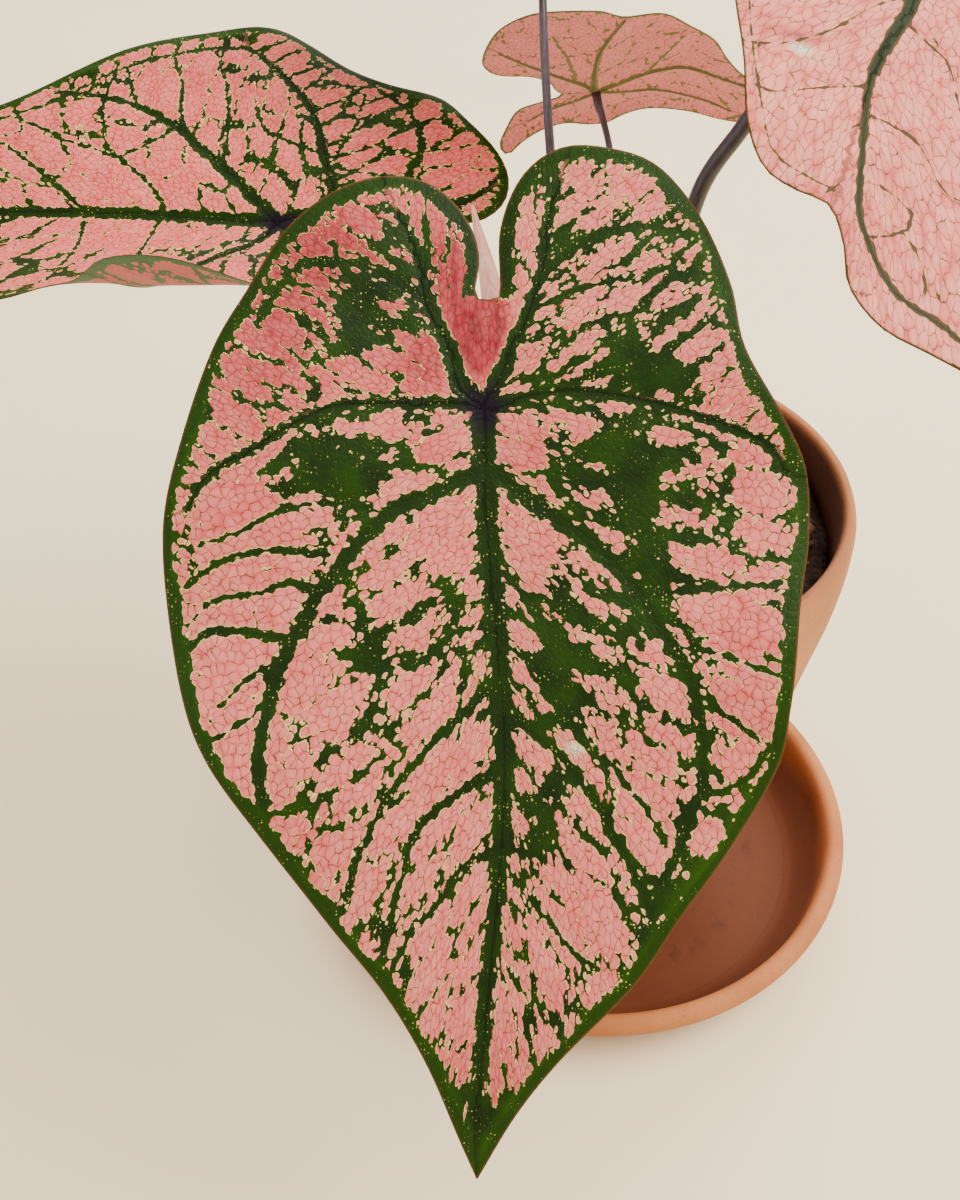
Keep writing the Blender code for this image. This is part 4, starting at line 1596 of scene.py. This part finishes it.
def frames_along(path: np.ndarray) -> tuple[np.ndarray, np.ndarray]:
    """Two directions square to a path at each of its points, with no twist between them.

    Args:
        path: The path's points, one a row.

    Returns:
        The first direction at each point, and the second.
    """
    ahead = np.gradient(path, axis=0)
    ahead /= np.linalg.norm(ahead, axis=1)[:, None]
    side = np.cross(ahead[0], (1.0, 0.0, 0.0))
    sides = []
    for direction in ahead:
        side = side - direction * (side @ direction)
        side = side / np.linalg.norm(side)
        sides.append(side)
    first = np.array(sides)
    return first, np.cross(ahead, first)


def tube(name: str, path: np.ndarray, radii: np.ndarray, sides: int, node: str) -> bpy.types.Object:
    """A closed round tube along a path.

    Args:
        name: The piece's name.
        path: The tube's middle line, in millimetres.
        radii: Its radius at each point of the line.
        sides: How many sides it has.
        node: The CAD node that it replaces.

    Returns:
        The new object, whose points hold the way round and the way along as "skin".
    """
    first, second = frames_along(path)
    angles = np.arange(sides) * 2 * math.pi / sides
    cosines, sines = np.cos(angles)[None, :, None], np.sin(angles)[None, :, None]
    round_out = first[:, None] * cosines + second[:, None] * sines
    shell = path[:, None] + round_out * radii[:, None, None]
    points = np.vstack([shell.reshape(-1, 3), path[:1], path[-1:]])
    rings = len(path)
    bottom, top = rings * sides, rings * sides + 1
    faces = ring_faces(rings, sides)
    faces += fan(bottom, 0, sides, flip=True) + fan(top, (rings - 1) * sides, sides)
    piece = mesh_piece(name, points * MM, faces, node)
    run = np.repeat(np.linspace(0, 1, rings), sides)
    turn = np.tile(np.abs(np.linspace(-1, 1, sides, endpoint=False)), rings)
    skin = np.column_stack([turn, run, np.zeros(len(run))])
    hold(piece.data, "skin", np.vstack([skin, (0, 0, 0), (0, 1, 0)]))
    return piece


@dataclass
class RolledLeaf(Maker):
    """A new leaf, still rolled: a pale sheet wound round itself, with a pointed tip."""

    name: str = "new_leaf"
    route: tuple[Place, ...] = ((-28, -14, 139), (-30, -12, 171), (-34, -6, 215), (-39, 3, 248),
                                (-46, 20, 274))
    radii: tuple[float, ...] = (2.6, 3.0, 4.4, 4.6, 0.5)
    sides: int = 36
    lap: float = 0.16
    finish: RollFinish = RollFinish()

    def build(self) -> bpy.types.Object:
        """Makes the roll, whose outer edge laps over the turn below it.

        Returns:
            The rolled leaf.
        """
        path = spaced(smooth_path(self.route, 12), 2.0)
        share = np.linspace(0, 1, len(path))
        radii = np.interp(share, np.linspace(0, 1, len(self.radii)), self.radii)
        piece = tube(self.name + "_roll", path, radii, self.sides, self.name)
        for number, vertex in enumerate(piece.data.vertices):
            ring = number // self.sides
            if ring >= len(path):
                continue
            turn = (number % self.sides) / self.sides
            step = self.lap * (turn - 0.5)
            middle = Vector(path[ring] * MM)
            vertex.co = middle + (vertex.co - middle) * (1 + step)
        return piece


def turned(name: str, profile: np.ndarray, inner: np.ndarray, node: str,
           steps: int = 160) -> bpy.types.Object:
    """A solid of revolution round Z.

    Args:
        name: The piece's name.
        profile: A closed section of (radius, height) rows, in millimetres, that runs down its
            outer side.
        inner: How far inside the vessel each row lies, from 0 to 1, which sets its painted shade.
        node: The CAD node that it replaces.
        steps: How many steps go once round.

    Returns:
        The new object, whose points hold "inner", which the painted shade reads.
    """
    points, starts, depths = [], [], []
    for (radius, height), depth in zip(profile, inner):
        starts.append(len(points))
        if radius < ON_AXIS:
            points.append((0.0, 0.0, height))
        else:
            points += [(x, y, height) for x, y in circle(radius, steps)]
        depths += [depth] * (len(points) - len(depths))
    faces = []
    rows = len(profile)
    for row in range(rows):
        this, after = starts[row], starts[(row + 1) % rows]
        on_axis, next_on_axis = profile[row][0] < ON_AXIS, profile[(row + 1) % rows][0] < ON_AXIS
        if on_axis and next_on_axis:
            continue
        for step in range(steps):
            following = (step + 1) % steps
            if on_axis:
                faces.append((this, after + step, after + following))
            elif next_on_axis:
                faces.append((this + step, after, this + following))
            else:
                faces.append((this + step, after + step, after + following, this + following))
    piece = mesh_piece(name, np.array(points) * MM, faces, node)
    hold(piece.data, "inner", depths)
    return piece


@dataclass
class Saucer(Maker):
    """The clay saucer: a turned dish with a thick rounded rim, and dirt where a pot's foot stood.

    shade is how far over the rim the painted shade inside the dish starts, and how far down it takes to get
    there.
    """

    name: str = "saucer"
    rim: float = 97.0
    base: float = 84.0
    height: float = 28.0
    floor: float = 6.0
    wall: float = 7.0
    shade: Pair = (1.0, 18.0)
    smooth: int = 5
    # The inside colour is painted shade on the dish's floor and inner wall.
    finish: ClayFinish = ClayFinish("saucer_clay_skin", (0.45, 0.16, 0.05), (0.32, 0.1, 0.024),
                                    stain_radius=0.06, inside=(0.07, 0.012, 0.0015))

    def build(self) -> bpy.types.Object:
        """Makes the saucer from its section.

        Returns:
            The saucer.
        """
        dish = ((self.base - 8, self.floor), (self.base - 3, self.floor + 3),
                (self.rim - self.wall - 2, self.height - 10), (self.rim - self.wall, self.height - 3))
        lip = ((self.rim - self.wall + 1.5, self.height - 0.6), (self.rim - self.wall / 2, self.height),
               (self.rim - 1.2, self.height - 1), (self.rim, self.height - 3.5),
               (self.rim - 0.8, self.height - 7))
        under = ((self.base + 7, 13), (self.base + 2, 4), (self.base - 1, 0.8), (self.base - 4, 0))
        curve = smooth_path((*dish, *lip, *under), self.smooth)
        section = np.vstack([[(0, self.floor)], [(self.base / 2, self.floor)], curve, [(0, 0)]])
        section[:, 1] = np.maximum(section[:, 1], 0.0)
        # How far into the dish each row lies, which sets its painted shade; the lip and the underside get
        # none.
        start, span = self.shade
        inner = np.clip((self.height + start - section[:, 1]) / span, 0, 1)
        inner[2 + self.smooth * len(dish):] = 0
        return turned("saucer_clay_body", section, inner, self.name)


@dataclass
class Pot(Maker):
    """The clay pot: a turned wall with a rounded lip, rounded in towards its foot.

    shares is the outer wall from its lip down, as shares of the rim's radius and of the height.
    shade is as the saucer's, for the painted shade inside the pot, which reaches onto the lip's crest.
    """

    name: str = "pot"
    rim: float = 75.0
    top: float = 187.0
    foot: float = 6.3
    foot_radius: float = 43.0
    wall: float = 5.0
    floor: float = 7.0
    drain: float = 6.0
    shade: Pair = (2.5, 6.5)
    shares: tuple[Pair, ...] = ((0.985, 0.0), (1.0, 0.018), (1.002, 0.045), (0.998, 0.09), (0.975, 0.17),
                                (0.925, 0.28), (0.87, 0.41), (0.8, 0.56), (0.715, 0.72), (0.635, 0.87),
                                (0.585, 0.97))
    # The inside colour is painted shade on the pot's inner wall, floor and lip crest.
    finish: ClayFinish = ClayFinish("pot_clay_skin", (0.54, 0.215, 0.078), (0.38, 0.14, 0.046),
                                    damp_height=0.04, inside=(0.05, 0.017, 0.008))

    def build(self) -> bpy.types.Object:
        """Makes the pot from its section.

        Returns:
            The pot.
        """
        span = self.top - self.foot
        outside = [(self.rim * share, self.top - span * down) for share, down in self.shares]
        outside.append((self.foot_radius - 1.2, self.foot))
        heights, radii = zip(*sorted((z, r) for r, z in outside[2:]))
        rows = np.linspace(self.foot + self.floor + 2, self.top - 6, 16)
        inside = [(float(np.interp(z, heights, radii)) - self.wall, z) for z in rows]
        lip = [(inside[-1][0] + 0.6, self.top - 2), (self.rim - 3, self.top - 0.1)]
        outer = smooth_path(tuple(outside), 4)
        inner = smooth_path((*inside, *lip, outside[0]), 3)[:-1]
        bottom = self.foot + self.floor
        drain = [(self.drain, self.foot), (self.drain, bottom), (inside[0][0] - 3, bottom)]
        section = np.vstack([outer, drain, inner])
        # How far down into the pot each row lies, which sets its painted shade; the outer wall gets none.
        start, depth = self.shade
        depths = np.clip((self.top + start - section[:, 1]) / depth, 0, 1)
        depths[:len(outer)] = 0
        return turned("pot_clay_body", section, depths, self.name)


@dataclass
class Soil(Maker):
    """The potting soil: a lumpy body with crumbs, bits of bark and root fibres on its top.

    heap is a low heap's place and height, and heap_spread says how wide it is.
    """

    name: str = "soil"
    radius: float = 68.0
    top: float = 171.0
    depth: float = 60.0
    taper: float = 9.5
    shoulder: float = 2.0
    shoulder_width: float = 4.0
    lumps: float = 2.2
    grit: float = 0.7
    heap: Place = (50.0, 34.0, 8.0)
    heap_spread: float = 800.0
    rings: int = 46
    wall_rings: int = 5
    sides: int = 150
    crumbs: int = 620
    fibres: int = 46
    seed: int = 11
    finish: SoilFinish = SoilFinish("soil_skin")

    def surface(self, x: float, y: float) -> float:
        """The height of the soil's top at a place, in millimetres.

        Args:
            x: The place's x.
            y: The place's y.

        Returns:
            The height.
        """
        wide = noise.noise(Vector((x, y, 0)) / 17)
        narrow = noise.noise(Vector((x, y, 8)) / 8)
        fine = noise.noise(Vector((x, y, 3)) / 3.2)
        middle_x, middle_y, high = self.heap
        heap = high * math.exp(-((x - middle_x) ** 2 + (y - middle_y) ** 2) / self.heap_spread)
        return self.top + self.lumps * (wide + narrow / 2) + self.grit * fine + heap

    def edge(self, height: float) -> float:
        """The soil's radius at a height, which follows the pot's wall."""
        down = (self.top - self.shoulder - height) / self.depth
        return self.radius - self.taper * max(0.0, down)

    def body(self) -> tuple[list, list]:
        """The points and faces of the soil without what lies on it.

        Returns:
            The points, in millimetres, and the faces.
        """
        rim = self.top - self.shoulder
        reach = self.edge(rim)
        points = [(0.0, 0.0, self.surface(0, 0))]
        for ring in range(1, self.rings + 1):
            radius = reach * ring / self.rings
            sink = self.shoulder * max(0.0, (radius - reach + self.shoulder_width) / self.shoulder_width)
            points += [(x, y, self.surface(x, y) - sink) for x, y in circle(radius, self.sides)]
        for down in np.linspace(0.1, 1.0, self.wall_rings):
            height = rim - self.depth * down
            points += [(x, y, height) for x, y in circle(self.edge(height), self.sides)]
        bottom = len(points)
        points.append((0.0, 0.0, rim - self.depth))
        faces = fan(0, 1, self.sides)
        faces += [face[::-1] for face in ring_faces(self.rings + self.wall_rings, self.sides, 1)]
        faces += fan(bottom, bottom - self.sides, self.sides, flip=True)
        return points, faces

    def build(self) -> bpy.types.Object:
        """Makes the soil's body with all that lies on it, as one mesh.

        Returns:
            The soil.
        """
        points, faces = self.body()
        tones = [0.0] * len(points)
        reach = self.edge(self.top - self.shoulder)
        draw = np.random.default_rng(self.seed)
        for _ in range(self.crumbs):
            self.add_crumb(points, faces, draw, reach)
            tones += [0.5 * draw.random() ** 2] * (len(points) - len(tones))
        for _ in range(self.fibres):
            self.add_fibre(points, faces, draw, reach)
            tones += [0.5 + 0.5 * draw.random()] * (len(points) - len(tones))
        piece = mesh_piece("soil_body", np.array(points) * MM, faces, self.name)
        hold(piece.data, "tone", tones)
        return piece

    @staticmethod
    def spot(draw: np.random.Generator, reach: float) -> Flat:
        """A random place on a disc.

        Args:
            draw: The random draws.
            reach: The disc's radius.

        Returns:
            The place.
        """
        radius = reach * math.sqrt(draw.random())
        angle = draw.random() * 2 * math.pi
        return radius * math.cos(angle), radius * math.sin(angle)

    def add_crumb(self, points: list, faces: list, draw: np.random.Generator, reach: float) -> None:
        """Adds one uneven crumb, half sunk in the soil.

        Args:
            points: The points so far, which grow.
            faces: The faces so far, which grow.
            draw: The random draws.
            reach: The soil's radius at its top.
        """
        x, y = self.spot(draw, reach - 5)
        size = 0.7 + 2.4 * draw.random() ** 2.5
        stretch = 0.7 + 0.8 * draw.random(3)
        turn = Matrix.Rotation(draw.random() * 6.3, 3, Vector(draw.random(3) - 0.5))
        rows, around = 4, 7
        first = len(points)
        middle = Vector((x, y, self.surface(x, y) + size * 0.25))
        for row in range(1, rows):
            lean = math.pi * row / rows
            for across in circle(math.sin(lean), around):
                way = Vector((*across, math.cos(lean)))
                rough = 0.8 + 0.45 * draw.random()
                local = Vector(np.array(way) * stretch * size * rough)
                points.append(tuple(middle + turn @ local))
        for pole in (1.0, -1.0):
            points.append(tuple(middle + turn @ Vector((0, 0, pole * size * float(stretch[2])))))
        north, south = len(points) - 2, len(points) - 1
        faces += [face[::-1] for face in ring_faces(rows - 1, around, first)]
        faces += fan(north, first, around)
        faces += fan(south, first + (rows - 2) * around, around, flip=True)

    def add_fibre(self, points: list, faces: list, draw: np.random.Generator, reach: float) -> None:
        """Adds one thin crooked root fibre that lies on the soil.

        Args:
            points: The points so far, which grow.
            faces: The faces so far, which grow.
            draw: The random draws.
            reach: The soil's radius at its top.
        """
        x, y = self.spot(draw, reach - 14)
        heading = draw.random() * 2 * math.pi
        thick = 0.25 + 0.35 * draw.random()
        path = []
        for _ in range(9):
            lift = 0.3 + 1.1 * draw.random()
            path.append((x, y, self.surface(x, y) + lift))
            heading += (draw.random() - 0.5) * 1.1
            x += 2.0 * math.cos(heading)
            y += 2.0 * math.sin(heading)
        line = np.array(path)
        first, around = len(points), 5
        for middle, side_way, up_way in zip(line, *frames_along(line)):
            points += [tuple(middle + thick * (side_way * c + up_way * s)) for c, s in circle(1.0, around)]
        faces += ring_faces(len(line), around, first)
        faces.append(tuple(first + side for side in range(around))[::-1])
        last = first + (len(line) - 1) * around
        faces.append(tuple(last + side for side in range(around)))


@dataclass(frozen=True)
class Lamp:
    """A square soft light that faces the plant, with its places and its size in metres."""

    name: str
    place: Place
    size: float
    power: float
    colour: Colour
    aim: Place = (0.0, 0.0, 0.15)

    def build(self) -> None:
        """Adds the light."""
        data = bpy.data.lights.new(self.name, "AREA")
        data.size = self.size
        data.energy = self.power
        data.color = self.colour
        lamp = new_object(self.name, data)
        lamp.location = self.place
        lamp.rotation_euler = (Vector(self.aim) - Vector(self.place)).to_track_quat("-Z", "Y").to_euler()


@dataclass
class Studio:
    """The plain pale floor, the soft lights and the camera."""

    camera_place: Place = (-43.75, -370.7, 482.3)
    camera_pitch: float = 42.91
    near_limit: float = 0.01
    focal_pixels: float = 1490.0
    frame_height: float = 1200.0
    sensor: float = 36.0
    floor_size: float = 12.0
    floor_finish: FloorFinish = FloorFinish()
    sky: Colour = (0.95, 0.92, 0.86)
    sky_strength: float = 1.05
    lamps: tuple[Lamp, ...] = (
        Lamp("key_light", (0.9, -0.25, 1.5), 1.1, 50.0, (1.0, 0.97, 0.92)),
        Lamp("fill_light", (-1.3, -0.9, 1.1), 1.6, 10.0, (1.0, 0.98, 0.95)),
        Lamp("back_light", (0.3, 1.5, 1.3), 1.4, 40.0, (1.0, 0.98, 0.94)),
    )

    def build(self) -> None:
        """Makes the floor, the lights, the world and the camera."""
        self.floor()
        for lamp in self.lamps:
            lamp.build()
        world = bpy.data.worlds.new("studio_air")
        world.use_nodes = True
        sky = world.node_tree.nodes["Background"]
        sky.inputs["Color"].default_value = (*self.sky, 1.0)
        sky.inputs["Strength"].default_value = self.sky_strength
        bpy.context.scene.world = world
        self.camera()

    def floor(self) -> None:
        """The plain pale floor, which isn't part of the plant."""
        half = self.floor_size / 2
        mesh = bpy.data.meshes.new("floor")
        corners = [(-half, -half, 0), (half, -half, 0), (half, half, 0), (-half, half, 0)]
        mesh.from_pydata(corners, [], [(0, 1, 2, 3)])
        floor = new_object("floor", mesh)
        mesh.materials.append(self.floor_finish.material())

    def camera(self) -> None:
        """Sets the camera at the photograph's angle."""
        data = bpy.data.cameras.new("camera")
        data.sensor_fit = "VERTICAL"
        data.sensor_height = self.sensor
        data.lens = self.focal_pixels * self.sensor / self.frame_height
        data.clip_start = self.near_limit
        camera = new_object("camera", data)
        camera.location = Vector(self.camera_place) * MM
        camera.rotation_euler = (math.radians(90 - self.camera_pitch), 0, 0)
        bpy.context.scene.camera = camera


def leaf_blades() -> list[LeafBlade]:
    """The five leaf blades."""
    return [
        LeafBlade(
            "front_leaf_blade", FRONT_SHAPE, LeafFinish("front_leaf_skin"), FRONT_RIBS, FRONT_ZONES,
            FRONT_BLUSHES,
            pales=(Patch(-22, 80, 2.2, 1.5, 0.9), Patch(63, 52, 3, 1.0, 0.8)),
            bare_edges=(Patch(-1, -24, 4.5, 5, 1.8),)),
        LeafBlade(
            "left_leaf_blade", LEFT_SHAPE,
            LeafFinish("left_leaf_skin", pink=(0.6, 0.07, 0.062), pale=(0.72, 0.21, 0.17),
                       under_green=(0.045, 0.1, 0.04), under_pink=(0.42, 0.1, 0.11), under_share=0.7,
                       vein_blush=0.25, gloss=0.04, panel_wide=8.0, panel_long=22.0, zone_line=0.2,
                       least_line=0.24, cell_wide=1.4, cell_long=2.4, scatter=1.1),
            LEFT_RIBS, LEFT_ZONES,
            blushes=(Patch(30, -40, 30, 22, 0.3), Patch(70, 60, 16, 40, 0.25)),
            margin=2.6, base_zone=0.5, mesh_size=4.6),
        LeafBlade(
            "right_leaf_blade", RIGHT_SHAPE,
            LeafFinish("right_leaf_skin", pink=(0.68, 0.145, 0.11), pale=(0.8, 0.34, 0.24),
                       cream=(0.5, 0.2, 0.08), line=(0.24, 0.04, 0.03), green=(0.022, 0.03, 0.004),
                       deep=(0.012, 0.02, 0.004), vein_blush=0.35, thin_share=0.85, panel_wide=9.0,
                       panel_long=12.0, panel_line=0.22, zone_line=0.0, least_line=0.16, ragged=0.75,
                       cell_wide=1.9, cell_long=2.9, cell_line=0.07, scatter=0.9, scallop=0.7,
                       outline=0.16, speckle=0.0),
            RIGHT_RIBS, RIGHT_ZONES,
            blushes=(Patch(34, 61, 8, 3, 0.75), Patch(26, 110, 20, 12, 0.45), Patch(52, 50, 6, 50, 0.4),
                     Patch(10, 60, 14, 10, 0.15)),
            pales=(Patch(32, 65, 2.6, 1.5, 1.0),),
            margin=0.3, base_zone=1.6, mesh_size=4.6),
        LeafBlade(
            "back_leaf_blade", BACK_SHAPE,
            LeafFinish("back_leaf_skin", pink=(0.76, 0.17, 0.19), pale=(0.84, 0.31, 0.31),
                       under_green=(0.16, 0.15, 0.05), under_pink=(0.84, 0.31, 0.31), under_share=0.3,
                       panel_wide=8.0, panel_long=14.0, panel_line=0.2, zone_line=0.0, scatter=0.8,
                       ragged=0.6),
            BACK_RIBS, blushes=(Patch(20, 10, 30, 40, 0.2),), margin=0.6, base_zone=1.2),
        LeafBlade(
            "top_leaf_blade", TOP_SHAPE, LeafFinish("top_leaf_skin"), TOP_RIBS,
            blushes=(Patch(0, 40, 30, 40, 0.3),), margin=1.8, base_zone=0.7, mesh_size=3.8),
    ]


def stalks() -> list[Stalk]:
    """The five leaf stalks."""
    dark = StalkFinish("dark_stalk_skin")
    slim = StalkFinish("slim_stalk_skin", (0.05, 0.035, 0.05), (0.14, 0.11, 0.14))
    return [
        Stalk("front_leaf_stalk", ((-12, -14, 139), (-13, -17, 171), (-18, -30, 210), (-29, -52, 243),
                                   (-39, -71, 264)), 3.2, 2.1, FRONT_SHAPE, dark),
        Stalk("left_leaf_stalk", ((-23, 4, 139), (-25, 5, 171), (-40, 9, 208), (-65, 13, 238),
                                  (-92, 19, 256)), 3.1, 2.0, LEFT_SHAPE, dark),
        Stalk("right_leaf_stalk", ((13, 2, 139), (13, 3, 171), (12, 6, 215), (16, 12, 275), (29, 17, 300),
                                   (50, 27, 327), (66, 35, 345)), 2.6, 2.2, RIGHT_SHAPE, dark),
        Stalk("back_leaf_stalk", ((5, 17, 139), (5, 20, 171), (5, 36, 205), (3, 64, 234), (0, 94, 252),
                                  (-2.5, 105, 260)), 2.0, 1.0, BACK_SHAPE, slim),
        Stalk("top_leaf_stalk", ((-8, 17, 139), (-9, 19, 171), (-14, 24, 215), (-20, 29, 255),
                                 (-23.5, 34, 285), (-25.5, 47, 309), (-26, 60, 324)),
              1.9, 1.1, TOP_SHAPE, slim),
    ]


def main() -> None:
    """Builds and dresses every piece, and reports each."""
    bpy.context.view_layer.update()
    Studio().build()
    for maker in [Saucer(), Pot(), Soil(), *leaf_blades(), *stalks(), RolledLeaf()]:
        piece = maker.build()
        maker.dress(piece)
        LOG.info("%s: %d faces", piece.name, len(piece.data.polygons))
    bpy.context.view_layer.update()


if __name__ == "__main__":
    logging.basicConfig(level=logging.INFO)
    main()
